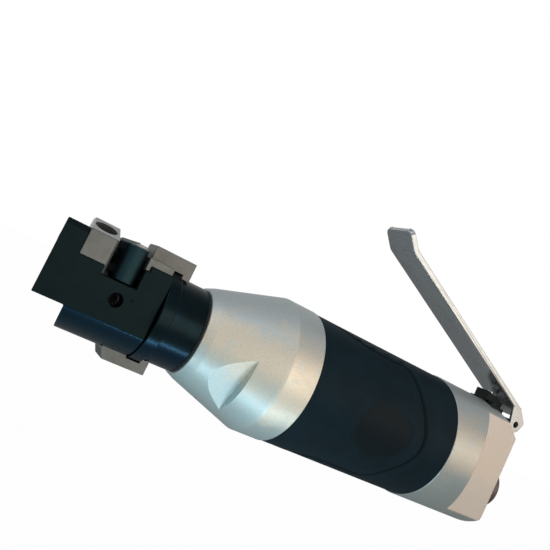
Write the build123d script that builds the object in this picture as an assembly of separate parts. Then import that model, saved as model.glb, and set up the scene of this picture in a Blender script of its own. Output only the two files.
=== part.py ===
from build123d import *
import os
from math import cos, radians, sin, sqrt, tan

# Pneumatic hole punch: a lever-operated tool in a straight round body, with a swivelling punch head.
# Millimetres. The tool axis runs along X: the head points to -X, the air comes in from +X and the lever
# lies on +Z. The solids are drawn about the tool axis and then raised by INLET_DROP, so that the origin is
# the centre of the air inlet's mouth.

# Body, from the inlet to the neck
BODY_DIAMETER = 45.0
INLET_PROJECTION = 8.0
REAR_LENGTH = 36.0
GRIP_LENGTH = 58.8
GRIP_THICKNESS = 2.0
BARREL_WALL = 3.0
SPIGOT_LENGTH = 8.0
SPIGOT_STEP = 0.9
NOSE_BAND_LENGTH = 10.0
NOSE_CONE_LENGTH = 23.2
NOSE_LIP_LENGTH = 2.8
NOSE_FRONT_RADIUS = 14.0
NOSE_SHOULDER_RADIUS = 15.2
NOSE_FLATS_ACROSS = 33.0
NOSE_FLATS_SETBACK = 9.4
NOSE_FLATS_TURN = 28.0
SPRING_CAVITY_RADIUS = 12.5
SPRING_SEAT_THICKNESS = 3.0
NECK_RADIUS = 13.4
NECK_LENGTH = 10.7
NECK_SPIGOT_RADIUS = 10.5
NECK_SPIGOT_LENGTH = 14.3
NECK_SEAL_WIDTH = 0.8
COLLAR_RADIUS = 14.6
COLLAR_LENGTH = 4.0

# Rear housing and air inlet
SIDE_FLATS_ACROSS = 25.0
SIDE_FLATS_LENGTH = 23.2
SIDE_FLATS_RUNOUT = 60.0
REAR_SLOPE_LENGTH = 8.9
REAR_SLOPE_ANGLE = 36.9
REAR_EDGE_RADIUS = 2.0
LEVER_SEAT_DEPTH = 1.5
INLET_RADIUS = 8.5
INLET_EDGE = 2.0
INLET_SPIGOT_RADIUS = 7.5
INLET_SPIGOT_LENGTH = 6.5
INLET_BORE_RADIUS = 5.65
INLET_PASSAGE_RADIUS = 4.0
INLET_PASSAGE_LENGTH = 5.0
SCREEN_THICKNESS = 0.8
FEED_RADIUS = 1.8
FEED_RISE = 3.0
INLET_ROOF = 0.98

# Lever and bracket
PIVOT_OVERHANG = 2.5
PIVOT_DROP = 1.7
PIN_RADIUS = 1.0
PIN_OVERHANG = 0.4
LEVER_ANGLE = 23.2
LEVER_GAUGE = 2.0
LEVER_WIDTH = 14.6
LEVER_TOP = 5.6
LEVER_REACH = 82.8
LEVER_TIP_LENGTH = 7.4
LEVER_TIP_ANGLE = 24.2
LEVER_CORNER_RADIUS = 2.0
EAR_WALL = 1.2
EAR_LENGTH = 6.7
EAR_FOOT = 2.2
EAR_RADIUS = 3.0
EAR_SHOULDER = 3.0
EAR_DROP = 2.0
BRACKET_SETBACK = 12.7
BRACKET_PLATE = 1.2
FLANGE_WIDTH = 13.6
VALVE_PAD_LENGTH = 4.4
VALVE_PAD_WIDTH = 10.4
TOWER_FRONT_HEIGHT = 4.2
TOWER_REAR_HEIGHT = 2.2
TOWER_FRONT_WALL = 1.6
TOWER_CHEEK = 1.2
LUG_WIDTH = 6.8
LUG_RADIUS = 1.65
LUG_THICKNESS = 1.5
LUG_HEEL = 0.8
BRACKET_SCREW_RADIUS = 1.0
BRACKET_SCREW_HEAD_RADIUS = 1.5
BRACKET_SCREW_HEAD = 1.0
BRACKET_SCREW_LENGTH = 5.0
BRACKET_SCREW_SPACING = 10.0
BRACKET_SCREW_SETBACK = 1.9

# Throttle valve
VALVE_SETBACK = 8.5
VALVE_BUSHING_RADIUS = 3.6
VALVE_BUSHING_LENGTH = 12.2
VALVE_PORT_RADIUS = 2.2
VALVE_PORT_HEIGHT = 5.0
VALVE_CHAMBER_DEPTH = 8.5
VALVE_SEAL_SECTION = 1.0
VALVE_SEAL_HEIGHT = 1.6
STEM_RADIUS = 1.2
POPPET_RADIUS = 3.0
POPPET_THICKNESS = 2.2
STEM_SEAL_THICKNESS = 0.8
VALVE_SPRING_RADIUS = 2.3
VALVE_SPRING_WIRE = 0.7
VALVE_SPRING_TURNS = 4

# Pistons and ram
STROKE = 2.3
PISTON_THICKNESS = 8.0
ROD_RADIUS = 5.0
ROD_COLLAR_RADIUS = 8.0
ROD_COLLAR_THICKNESS = 2.0
ROD_TENON_RADIUS = 3.5
ROD_TENON_LENGTH = 8.0
SPACER_RADIUS = 7.0
SPACER_LENGTH = 12.5
SEPARATOR_THICKNESS = 6.0
SEPARATOR_GAP = 0.5
RING_THICKNESS = 1.2
RING_DEPTH = 1.0
SEAL_SECTION = 2.4
SEAL_DEPTH = 1.8
NUT_ACROSS = 13.0
NUT_THICKNESS = 4.5
NUT_POCKET_RADIUS = 9.0
RETURN_SPRING_RADIUS = 10.5
RETURN_SPRING_WIRE = 2.0
RETURN_SPRING_TURNS = 7
RAM_RADIUS = 6.5
RAM_LENGTH = 53.0

# Head
HEAD_RADIUS = 14.2
HEAD_WIDTH = 25.0
HEAD_CYLINDER_LENGTH = 24.1
HEAD_OVERHANG = 9.0
HEAD_TOP = 14.7
HEAD_EDGE = 1.5
HEAD_REAR_TOP = 12.4
FRONT_RAKE = 9.0
STEP_RAKE = 11.5
ROOF_RAKE = 8.0
SLOT_SETBACK = 8.4
SLOT_FLOOR = 4.8
ACCESS_RADIUS = 2.1
JAW_LENGTH = 6.4
JAW_WIDTH = 23.6
JAW_TOP = 16.6
JAW_CORNER_RADIUS = 2.8
JAW_FRONT_SLOPE = 2.5
JAW_FRONT_DROP = 1.2
JAW_REST_GAP = 0.6
JAW_STEM_RADIUS = 3.0
JAW_STEM_DEPTH = 4.5
JAW_SCREW_RADIUS = 1.8
JAW_SCREW_SOCKET = 1.1
THROAT = 2.8
PUNCH_RADIUS = 2.5
PUNCH_HEIGHT = 11.0
PUNCH_REACH = 1.2
PUNCH_SEAT = 4.0
DIE_LENGTH = 8.3
DIE_LIP = 0.8
DIE_SEAT = 7.3
DIE_TOP = 18.0
DIE_SLOPE_WIDTH = 6.5
DIE_EDGE = 0.8
DIE_CHUTE_LENGTH = 6.6
DIE_CHUTE_WIDTH = 3.7
DIE_SCREW_RADIUS = 1.5
DIE_SCREW_HEAD_RADIUS = 2.75
DIE_SCREW_HEAD = 1.1
DIE_SCREW_WALL = 2.3
DIE_SCREW_LENGTH = 5.7
DIE_SCREW_SOCKET = 1.0
DIE_SCREW_SPACING = 15.0
DIE_SCREW_HEIGHT = 9.1
STOP_PLATE_LENGTH = 7.8
STOP_PLATE_WIDTH = 23.0
STOP_PLATE_THICKNESS = 2.2
STOP_LEG_THICKNESS = 1.3
STOP_LEG_DEPTH = 1.6
CLAMP_WIDTH = 9.0
TOP_CLAMP_LENGTH = 6.3
TOP_CLAMP_THICKNESS = 4.1
TOP_CLAMP_EDGE = 0.6
BOTTOM_CLAMP_LENGTH = 7.8
BOTTOM_CLAMP_THICKNESS = 3.7
BOTTOM_CLAMP_EDGE = 2.6
BOTTOM_CLAMP_SEAT = 13.4
HOOK_LENGTH = 2.65
CLAMP_SCREW_RADIUS = 1.5
CLAMP_SCREW_HEAD_RADIUS = 2.8
CLAMP_SCREW_HEAD = 1.6
CLAMP_SCREW_SETBACK = 3.1
CLAMP_SCREW_SOCKET = 1.2
SOCKET_DEPTH = 0.8

# Clearances: none between joined pieces, a running fit between guides, and free air elsewhere
FIT = 0.02
RUNNING_FIT = 0.05
HOLE_FIT = 0.1
REST_GAP = 0.1
SWIVEL_GAP = 0.2
HOOK_GAP = 0.15
FREE_GAP = 0.3
RAM_GAP = 0.4
RAM_OVERRUN = 0.5

# Places along the tool axis, from the air inlet's mouth to the tip of the head
BODY_RADIUS = BODY_DIAMETER / 2
X_REAR = -INLET_PROJECTION
X_GRIP_REAR = X_REAR - REAR_LENGTH
X_GRIP_FRONT = X_GRIP_REAR - GRIP_LENGTH
X_CONE_REAR = X_GRIP_FRONT - NOSE_BAND_LENGTH
X_CONE_FRONT = X_CONE_REAR - NOSE_CONE_LENGTH
X_NOSE_FRONT = X_CONE_FRONT - NOSE_LIP_LENGTH
X_COLLAR_REAR = X_NOSE_FRONT - NECK_LENGTH
X_COLLAR_FRONT = X_COLLAR_REAR - COLLAR_LENGTH
X_HEAD_REAR = X_COLLAR_FRONT - SWIVEL_GAP
X_HEAD_STEP = X_HEAD_REAR - HEAD_CYLINDER_LENGTH
X_HEAD_FRONT = X_HEAD_STEP - HEAD_OVERHANG
X_SLOT_REAR = X_HEAD_REAR - SLOT_SETBACK
X_JAW_REAR = X_SLOT_REAR - JAW_REST_GAP
X_JAW_FRONT = X_JAW_REAR - JAW_LENGTH
X_JAW = (X_JAW_FRONT + X_JAW_REAR) / 2
X_DIE_FACE = X_JAW_FRONT - THROAT
X_DIE_BACK = X_DIE_FACE - DIE_LENGTH
X_SLOT_FRONT = X_DIE_FACE - DIE_LIP
X_NECK_SPIGOT = X_NOSE_FRONT + NECK_SPIGOT_LENGTH
X_SPRING_SEAT = X_NECK_SPIGOT + SPRING_SEAT_THICKNESS
X_CLAMP_SCREW = X_HEAD_REAR - CLAMP_SCREW_SETBACK
X_DIE_SCREW = X_DIE_BACK - DIE_SCREW_WALL
X_RAM_FRONT = X_DIE_FACE + RAM_GAP
X_RAM_REAR = X_RAM_FRONT + RAM_LENGTH

# Barrel, and the pistons at rest against the rear housing
BARREL_OUTER = BODY_RADIUS - GRIP_THICKNESS
BARREL_BORE = BARREL_OUTER - BARREL_WALL
SPIGOT_RADIUS = BARREL_BORE + SPIGOT_STEP
X_FRONT_SPIGOT = X_GRIP_FRONT + SPIGOT_LENGTH
X_REAR_SPIGOT = X_GRIP_REAR - SPIGOT_LENGTH
X_REAR_PISTON = X_REAR_SPIGOT - REST_GAP
X_SPACER = X_REAR_PISTON - PISTON_THICKNESS
X_FRONT_PISTON = X_SPACER - SPACER_LENGTH
X_ROD_COLLAR = X_FRONT_PISTON - PISTON_THICKNESS
X_SEPARATOR = X_FRONT_PISTON + SEPARATOR_GAP + RING_THICKNESS

# Lever, bracket and valve
X_PIVOT = X_REAR + PIVOT_OVERHANG
X_VALVE = X_REAR - VALVE_SETBACK
X_SLOPE = X_REAR - REAR_SLOPE_LENGTH
X_BRACKET = X_REAR - BRACKET_SETBACK
X_BRACKET_REAR = X_VALVE + VALVE_PAD_LENGTH
X_BRACKET_SCREWS = X_BRACKET + BRACKET_SCREW_SETBACK
LEVER_SEAT_HEIGHT = BODY_RADIUS - LEVER_SEAT_DEPTH
PIVOT_HEIGHT = LEVER_SEAT_HEIGHT - PIVOT_DROP
BRACKET_TOP = LEVER_SEAT_HEIGHT + BRACKET_PLATE
LEVER_UNDERSIDE = LEVER_TOP - LEVER_GAUGE
VALVE_SEAT = BRACKET_TOP - VALVE_BUSHING_LENGTH
VALVE_FLOOR = VALVE_SEAT - VALVE_CHAMBER_DEPTH
POPPET_TOP = VALVE_SEAT - REST_GAP - STEM_SEAL_THICKNESS
FEED_HEIGHT = VALVE_SEAT + FEED_RISE
INLET_DROP = INLET_SPIGOT_RADIUS + FIT + INLET_ROOF - VALVE_FLOOR
FROM_START = (Align.CENTER, Align.CENTER, Align.MIN)


def turned(*points):
    """Solid of revolution about the tool axis; points are (place along the axis, radius)."""
    return revolve(Plane.XZ * Polygon(*points, align=None), Axis.X)


def rod_x(x0, x1, radius, y=0.0, z=0.0):
    """Round bar along X."""
    return Pos(min(x0, x1), y, z) * Rot(0, 90, 0) * Cylinder(radius, abs(x1 - x0), align=FROM_START)


def tube_x(x0, x1, outer, inner):
    """Round tube along X, on the tool axis."""
    return rod_x(x0, x1, outer) - rod_x(x0, x1, inner)


def rod_y(x, z, radius, y0, y1):
    """Round bar along Y."""
    return Pos(x, min(y0, y1), z) * Rot(-90, 0, 0) * Cylinder(radius, abs(y1 - y0), align=FROM_START)


def rod_z(x, y, z0, z1, radius):
    """Round bar along Z."""
    return Pos(x, y, min(z0, z1)) * Cylinder(radius, abs(z1 - z0), align=FROM_START)


def block(x0, x1, width, z0, z1):
    """Rectangular block, centred on the middle plane."""
    box = Box(abs(x1 - x0), width, abs(z1 - z0), align=(Align.MIN, Align.CENTER, Align.MIN))
    return Pos(min(x0, x1), 0, min(z0, z1)) * box


def plate(points, width):
    """Side outline of (x, z) points, given a width across the middle plane."""
    return extrude(Plane.XZ * Polygon(*points, align=None), width / 2, both=True)


def bar(points, x0, x1):
    """Cross section of (y, z) points, drawn out along X."""
    face = Plane.YZ.offset(min(x0, x1)) * Polygon(*points, align=None)
    return extrude(face, abs(x1 - x0), dir=(1, 0, 0))


def coil(radius, wire, turns, length):
    """Helical wire along +Z from the origin; sizes are to the middle of the wire."""
    path = Helix(length / turns, length, radius)
    section = Plane(origin=path @ 0, z_dir=path % 0) * Circle(wire / 2)
    return sweep(section, path=path, is_frenet=True)


def hex_socket(radius):
    """Hexagonal recess along +Z from the origin."""
    return extrude(RegularPolygon(radius, 6), SOCKET_DEPTH)


def in_front_of(x, angle, low):
    """Space in front of a raked plane, from a height upwards; the plane starts at x on the -Y side."""
    half = HEAD_WIDTH / 2
    back = x + HEAD_WIDTH * tan(radians(angle))
    ahead = x - HEAD_WIDTH
    outline = Polygon((x, -half), (back, half), (ahead, half), (ahead, -half), align=None)
    return Pos(0, 0, low) * extrude(outline, BODY_DIAMETER, dir=(0, 0, 1))


def pair(spacing):
    """Two places on either side of the middle plane."""
    return (-spacing / 2, spacing / 2)


def nose_housing():
    """Turned nose: a cone with two wrench flats, the neck's seat in front and the barrel's spigot behind."""
    shell = turned(
        (X_NOSE_FRONT, NECK_SPIGOT_RADIUS + FIT),
        (X_NOSE_FRONT, NOSE_FRONT_RADIUS),
        (X_CONE_FRONT, NOSE_SHOULDER_RADIUS),
        (X_CONE_REAR, BODY_RADIUS),
        (X_GRIP_FRONT, BODY_RADIUS),
        (X_GRIP_FRONT, SPIGOT_RADIUS),
        (X_FRONT_SPIGOT, SPIGOT_RADIUS),
        (X_FRONT_SPIGOT, SPRING_CAVITY_RADIUS),
        (X_SPRING_SEAT, SPRING_CAVITY_RADIUS),
        (X_SPRING_SEAT, RAM_RADIUS + HOLE_FIT),
        (X_NECK_SPIGOT, RAM_RADIUS + HOLE_FIT),
        (X_NECK_SPIGOT, NECK_SPIGOT_RADIUS + FIT),
    )
    shoulder = X_CONE_REAR - NOSE_FLATS_SETBACK
    milled = block(X_NOSE_FRONT - 1, shoulder, BODY_DIAMETER, NOSE_FLATS_ACROSS / 2, BODY_DIAMETER)
    for turn in (90, -90):
        shell -= Rot(turn + NOSE_FLATS_TURN, 0, 0) * milled
    seal = seal_span((X_GRIP_FRONT + X_FRONT_SPIGOT) / 2)
    return shell - tube_x(*seal, SPIGOT_RADIUS, SPIGOT_RADIUS - SEAL_DEPTH)


def neck_sleeve():
    """Neck with the collar that carries the head, screwed into the nose by its spigot."""
    x_seal = X_NOSE_FRONT - NECK_SEAL_WIDTH
    return turned(
        (X_COLLAR_FRONT, RAM_RADIUS + RUNNING_FIT),
        (X_COLLAR_FRONT, COLLAR_RADIUS),
        (X_COLLAR_REAR, COLLAR_RADIUS),
        (X_COLLAR_REAR, NECK_RADIUS),
        (x_seal, NECK_RADIUS),
        (x_seal, NECK_SPIGOT_RADIUS),
        (X_NECK_SPIGOT, NECK_SPIGOT_RADIUS),
        (X_NECK_SPIGOT, RAM_RADIUS + RUNNING_FIT),
    )


def neck_seal():
    """Dust seal between the neck's shoulder and the nose."""
    return tube_x(X_NOSE_FRONT - NECK_SEAL_WIDTH, X_NOSE_FRONT, NECK_RADIUS, NECK_SPIGOT_RADIUS + FIT)


def barrel():
    """Cylinder tube between nose and rear housing, with grooves for the separator's rings."""
    tube = tube_x(X_GRIP_FRONT, X_GRIP_REAR, BARREL_OUTER, BARREL_BORE)
    tube -= rod_x(X_GRIP_FRONT, X_FRONT_SPIGOT, SPIGOT_RADIUS + FIT)
    tube -= rod_x(X_REAR_SPIGOT, X_GRIP_REAR, SPIGOT_RADIUS + FIT)
    for x in ring_places():
        tube -= rod_x(x, x + RING_THICKNESS, BARREL_BORE + RING_DEPTH)
    return tube


def seal_span(middle):
    """Both ends of a seal about its middle."""
    return middle - SEAL_SECTION / 2, middle + SEAL_SECTION / 2


def barrel_seals():
    """Rubber ring on each spigot, inside the barrel's ends."""
    rings = []
    for ends in ((X_GRIP_FRONT, X_FRONT_SPIGOT), (X_REAR_SPIGOT, X_GRIP_REAR)):
        rings.append(tube_x(*seal_span(sum(ends) / 2), SPIGOT_RADIUS, SPIGOT_RADIUS - SEAL_DEPTH + FIT))
    return Compound(rings)


def ring_places():
    """Front face of each spring ring, one on either side of the separator."""
    return (X_SEPARATOR - RING_THICKNESS, X_SEPARATOR + SEPARATOR_THICKNESS)


def separator_rings():
    """Two open spring rings that hold the separator in the barrel."""
    rings = []
    for x in ring_places():
        ring = tube_x(x, x + RING_THICKNESS, BARREL_BORE + RING_DEPTH - FIT, BARREL_BORE - RING_DEPTH)
        rings.append(ring - block(x, x + RING_THICKNESS, 4 * RING_DEPTH, 0, -BODY_RADIUS))
    return Compound(rings)


def separator():
    """Fixed wall between the two cylinders, with a groove for each of its seals."""
    rear = X_SEPARATOR + SEPARATOR_THICKNESS
    wall = tube_x(X_SEPARATOR, rear, BARREL_BORE - FIT, SPACER_RADIUS + RUNNING_FIT)
    seal = seal_span((X_SEPARATOR + rear) / 2)
    wall -= tube_x(*seal, SPACER_RADIUS + SEAL_DEPTH, SPACER_RADIUS)
    return wall - tube_x(*seal, BARREL_BORE, BARREL_BORE - SEAL_DEPTH)


def separator_seals():
    """Rubber ring on the spacer and rubber ring in the barrel."""
    seal = seal_span(X_SEPARATOR + SEPARATOR_THICKNESS / 2)
    inner = tube_x(*seal, SPACER_RADIUS + SEAL_DEPTH - FIT, SPACER_RADIUS + RUNNING_FIT / 2)
    outer = tube_x(*seal, BARREL_BORE - FIT, BARREL_BORE - SEAL_DEPTH + FIT)
    return Compound([inner, outer])


def grip_sleeve():
    """Rubber grip over the barrel, flush with the nose and the rear housing."""
    return tube_x(X_GRIP_FRONT, X_GRIP_REAR, BODY_RADIUS, BARREL_OUTER + FIT)


def rear_housing():
    """Rear housing: side flats, a sloped upper corner, the lever's seat, the valve bore and the air inlet."""
    solid = rod_x(X_GRIP_REAR, X_REAR, BODY_RADIUS)
    solid = fillet(solid.edges().group_by(Axis.X)[-1], REAR_EDGE_RADIUS)
    solid += rod_x(X_REAR_SPIGOT, X_GRIP_REAR, SPIGOT_RADIUS)
    seal = seal_span((X_REAR_SPIGOT + X_GRIP_REAR) / 2)
    solid -= tube_x(*seal, SPIGOT_RADIUS, SPIGOT_RADIUS - SEAL_DEPTH)
    solid -= rod_x(X_REAR_SPIGOT, X_REAR_PISTON + NUT_THICKNESS + ROD_COLLAR_THICKNESS, NUT_POCKET_RADIUS)
    for side in (1, -1):
        solid -= side_flat(side)
    solid -= block(X_BRACKET - FREE_GAP, X_REAR, BODY_DIAMETER, LEVER_SEAT_HEIGHT, BODY_DIAMETER)
    corner = [(X_REAR, slope_height(X_REAR)), (X_REAR, BODY_RADIUS), (slope_place(BODY_RADIUS), BODY_RADIUS)]
    solid -= plate(corner, BODY_DIAMETER)
    solid -= rod_z(X_VALVE, 0, VALVE_FLOOR, BODY_RADIUS, VALVE_BUSHING_RADIUS + FIT)
    solid -= rod_z(X_VALVE, 0, -INLET_DROP, VALVE_FLOOR, FEED_RADIUS)
    solid -= rod_x(X_REAR_SPIGOT, X_VALVE, FEED_RADIUS, z=FEED_HEIGHT)
    x_inlet = X_REAR - INLET_SPIGOT_LENGTH - SCREEN_THICKNESS
    solid -= rod_x(x_inlet, X_REAR, INLET_SPIGOT_RADIUS + FIT, z=-INLET_DROP)
    solid -= rod_x(x_inlet - INLET_PASSAGE_LENGTH, x_inlet, INLET_PASSAGE_RADIUS, z=-INLET_DROP)
    for y in pair(BRACKET_SCREW_SPACING):
        foot = BRACKET_TOP - BRACKET_SCREW_LENGTH
        solid -= rod_z(X_BRACKET_SCREWS, y, foot, BODY_RADIUS, BRACKET_SCREW_RADIUS + FIT)
    return solid


def side_flat(side):
    """Material milled away on one side, with a sloped run-out at its front end."""
    outer = side * BODY_RADIUS
    inner = side * SIDE_FLATS_ACROSS / 2
    start = X_REAR - SIDE_FLATS_LENGTH
    end = start + abs(outer - inner) / tan(radians(SIDE_FLATS_RUNOUT))
    outline = Polygon((start, outer), (end, inner), (0, inner), (0, 2 * outer), (start, 2 * outer), align=None)
    return extrude(outline, BODY_RADIUS, both=True)


def slope_height(x):
    """Height of the sloped rear corner at a place along the axis."""
    return LEVER_SEAT_HEIGHT - (x - X_SLOPE) * tan(radians(REAR_SLOPE_ANGLE))


def slope_place(z):
    """Place along the axis where the sloped rear corner reaches a height."""
    return X_SLOPE + (LEVER_SEAT_HEIGHT - z) / tan(radians(REAR_SLOPE_ANGLE))


def inlet_bushing():
    """Threaded air inlet in the rear face; the thread is a plain bore."""
    solid = rod_x(X_REAR, 0, INLET_RADIUS, z=-INLET_DROP)
    solid = fillet(solid.edges().group_by(Axis.X)[-1], INLET_EDGE)
    solid += rod_x(X_REAR - INLET_SPIGOT_LENGTH, X_REAR, INLET_SPIGOT_RADIUS, z=-INLET_DROP)
    return solid - rod_x(X_REAR - INLET_SPIGOT_LENGTH, 0, INLET_BORE_RADIUS, z=-INLET_DROP)


def inlet_screen():
    """Gauze disc held behind the air inlet's inner end."""
    end = X_REAR - INLET_SPIGOT_LENGTH
    return rod_x(end - SCREEN_THICKNESS, end, INLET_SPIGOT_RADIUS, z=-INLET_DROP)


def lever_bracket():
    """Bracket on the lever's seat: a pad for the valve, a screw flange, an open tower and the hinge lug."""
    solid = block(X_BRACKET, X_SLOPE, FLANGE_WIDTH, LEVER_SEAT_HEIGHT, BRACKET_TOP)
    solid += plate(pad_outline(), VALVE_PAD_WIDTH)
    solid += plate(lug_outline(), LUG_WIDTH)
    solid += rod_y(X_PIVOT, PIVOT_HEIGHT, LUG_RADIUS, *pair(LUG_WIDTH))
    solid -= rod_y(X_PIVOT, PIVOT_HEIGHT, PIN_RADIUS + FIT, *pair(2 * LUG_WIDTH))
    solid -= rod_z(X_VALVE, 0, 0, BRACKET_TOP, VALVE_BUSHING_RADIUS + FIT)
    for y in pair(BRACKET_SCREW_SPACING):
        solid -= rod_z(X_BRACKET_SCREWS, y, 0, BODY_DIAMETER, BRACKET_SCREW_RADIUS + FIT)
    inside = LUG_WIDTH - 2 * TOWER_CHEEK
    tower = plate(tower_outline(), LUG_WIDTH)
    tower -= block(X_BRACKET + TOWER_FRONT_WALL, X_BRACKET_REAR, inside, BRACKET_TOP, BODY_DIAMETER)
    return solid + tower


def tower_outline():
    """Side outline of the tower around the throttle stem; its top stays clear of the pressed lever."""
    return [
        (X_BRACKET, BRACKET_TOP),
        (X_BRACKET, BRACKET_TOP + TOWER_FRONT_HEIGHT),
        (X_BRACKET_REAR, BRACKET_TOP + TOWER_REAR_HEIGHT),
        (X_BRACKET_REAR, BRACKET_TOP),
    ]


def pad_outline():
    """Side outline of the pad, which lies on the seat and on the sloped corner."""
    return [
        (X_BRACKET, LEVER_SEAT_HEIGHT),
        (X_BRACKET, BRACKET_TOP),
        (X_BRACKET_REAR, BRACKET_TOP),
        (X_BRACKET_REAR, slope_height(X_BRACKET_REAR)),
        (X_SLOPE, LEVER_SEAT_HEIGHT),
    ]


def lug_outline():
    """Side outline of the lug that reaches down the sloped corner to the pivot."""
    heel = X_REAR - LUG_HEEL
    return [
        (X_VALVE, slope_height(X_VALVE)),
        (X_VALVE, BRACKET_TOP),
        (X_BRACKET_REAR, BRACKET_TOP),
        (X_BRACKET_REAR, slope_height(X_BRACKET_REAR) + LUG_THICKNESS),
        (X_PIVOT, PIVOT_HEIGHT + LUG_RADIUS),
        (X_PIVOT, PIVOT_HEIGHT - LUG_RADIUS),
        (heel, slope_height(heel)),
    ]


def underside_height(x):
    """Height of the resting lever's underside at a place along the axis."""
    turn = radians(LEVER_ANGLE)
    along = (X_PIVOT - x + LEVER_UNDERSIDE * sin(turn)) / cos(turn)
    return PIVOT_HEIGHT + along * sin(turn) + LEVER_UNDERSIDE * cos(turn)


def bracket_screws():
    """Two pan-head screws in the bracket's flange, one on either side of the tower."""
    screws = []
    for y in pair(BRACKET_SCREW_SPACING):
        foot = BRACKET_TOP - BRACKET_SCREW_LENGTH
        head_top = BRACKET_TOP + BRACKET_SCREW_HEAD
        screw = rod_z(X_BRACKET_SCREWS, y, foot, BRACKET_TOP, BRACKET_SCREW_RADIUS)
        screws.append(screw + rod_z(X_BRACKET_SCREWS, y, BRACKET_TOP, head_top, BRACKET_SCREW_HEAD_RADIUS))
    return Compound(screws)


def lever_pin():
    """Hinge pin, fixed in the lug and standing out through both ears."""
    return rod_y(X_PIVOT, PIVOT_HEIGHT, PIN_RADIUS, *pair(LEVER_WIDTH + 2 * PIN_OVERHANG))


def lever():
    """Flat lever with two ears, drawn level from its pivot along -X and then raised to its resting angle."""
    outline = strip_outline()
    tip = min(x for x, z in outline)
    plan = Pos(tip / 2, 0, -BODY_RADIUS) * RectangleRounded(-tip, LEVER_WIDTH, LEVER_CORNER_RADIUS)
    solid = plate(outline, LEVER_WIDTH) & extrude(plan, BODY_DIAMETER)
    ears = plate(ear_outline(), LEVER_WIDTH) + rod_y(0, 0, EAR_RADIUS, *pair(LEVER_WIDTH))
    ears -= block(-EAR_LENGTH, EAR_RADIUS, LEVER_WIDTH - 2 * EAR_WALL, -BODY_RADIUS, LEVER_UNDERSIDE)
    solid += ears
    solid -= rod_y(0, 0, PIN_RADIUS + RUNNING_FIT, *pair(2 * LEVER_WIDTH))
    return Pos(X_PIVOT, 0, PIVOT_HEIGHT) * Rot(0, LEVER_ANGLE, 0) * solid


def strip_outline():
    """Side outline of the strip, from between the ears to its raised tip."""
    turn = radians(LEVER_TIP_ANGLE)
    knee = LEVER_REACH + LEVER_GAUGE * tan(turn / 2)
    end = -LEVER_REACH - LEVER_TIP_LENGTH * cos(turn)
    end_top = LEVER_TOP + LEVER_TIP_LENGTH * sin(turn)
    return [
        (-EAR_SHOULDER, LEVER_UNDERSIDE),
        (-EAR_SHOULDER, LEVER_TOP),
        (-LEVER_REACH, LEVER_TOP),
        (end, end_top),
        (end - LEVER_GAUGE * sin(turn), end_top - LEVER_GAUGE * cos(turn)),
        (-knee, LEVER_UNDERSIDE),
    ]


def ear_outline():
    """Side outline of the ears, which hang from the sloped rear end of the strip."""
    return [
        (-EAR_LENGTH, LEVER_TOP),
        (-EAR_SHOULDER, LEVER_TOP),
        (EAR_RADIUS, EAR_RADIUS),
        (EAR_RADIUS, 0),
        (0, -EAR_DROP),
        (-EAR_FOOT, -EAR_DROP),
        (-EAR_LENGTH, LEVER_UNDERSIDE),
    ]


def valve_bushing():
    """Bush that guides the throttle stem, held down by the tower, with a side port to the cylinder."""
    solid = rod_z(X_VALVE, 0, VALVE_SEAT, BRACKET_TOP - FIT, VALVE_BUSHING_RADIUS)
    solid -= rod_z(X_VALVE, 0, VALVE_SEAT, BODY_DIAMETER, STEM_RADIUS + RUNNING_FIT)
    solid -= rod_z(X_VALVE, 0, VALVE_SEAT, VALVE_SEAT + VALVE_PORT_HEIGHT, VALVE_PORT_RADIUS)
    solid -= rod_x(X_VALVE - 2 * VALVE_BUSHING_RADIUS, X_VALVE, FEED_RADIUS, z=FEED_HEIGHT)
    return solid - bushing_ring(VALVE_BUSHING_RADIUS, VALVE_BUSHING_RADIUS - VALVE_SEAL_SECTION)


def bushing_ring(outer, inner):
    """Ring around the upper part of the valve bushing, between the side port and the bracket."""
    low = (VALVE_SEAT + VALVE_PORT_HEIGHT + LEVER_SEAT_HEIGHT) / 2 - VALVE_SEAL_SECTION
    high = low + VALVE_SEAL_HEIGHT
    return rod_z(X_VALVE, 0, low, high, outer) - rod_z(X_VALVE, 0, low, high, inner)


def valve_bushing_seal():
    """Rubber ring in the bushing's groove."""
    return bushing_ring(VALVE_BUSHING_RADIUS, VALVE_BUSHING_RADIUS - VALVE_SEAL_SECTION + FIT)


def throttle_stem():
    """Throttle stem with its poppet; the stem's top touches the resting lever."""
    top = underside_height(X_VALVE + STEM_RADIUS) - REST_GAP
    stem = rod_z(X_VALVE, 0, POPPET_TOP, top, STEM_RADIUS)
    stem = fillet(stem.edges().group_by(Axis.Z)[-1], STEM_RADIUS / 2)
    return stem + rod_z(X_VALVE, 0, POPPET_TOP - POPPET_THICKNESS, POPPET_TOP, POPPET_RADIUS)


def stem_seal():
    """Rubber washer between the poppet and its seat."""
    ring = rod_z(X_VALVE, 0, POPPET_TOP, POPPET_TOP + STEM_SEAL_THICKNESS, POPPET_RADIUS)
    return ring - rod_z(X_VALVE, 0, POPPET_TOP, POPPET_TOP + STEM_SEAL_THICKNESS, STEM_RADIUS + FIT)


def valve_spring():
    """Coil spring that closes the throttle valve."""
    foot = VALVE_FLOOR + VALVE_SPRING_WIRE / 2
    length = POPPET_TOP - POPPET_THICKNESS - VALVE_SPRING_WIRE / 2 - REST_GAP - foot
    return Pos(X_VALVE, 0, foot) * coil(VALVE_SPRING_RADIUS, VALVE_SPRING_WIRE, VALVE_SPRING_TURNS, length)


def piston(x_front):
    """Piston disc on the rod, with a seal groove."""
    disc = tube_x(x_front, x_front + PISTON_THICKNESS, BARREL_BORE - HOLE_FIT, ROD_RADIUS + FIT)
    return disc - tube_x(*seal_span(x_front + PISTON_THICKNESS / 2), BARREL_BORE, BARREL_BORE - SEAL_DEPTH)


def front_piston():
    """Front piston, pressed back by the return spring."""
    return piston(X_FRONT_PISTON - PISTON_THICKNESS)


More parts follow.
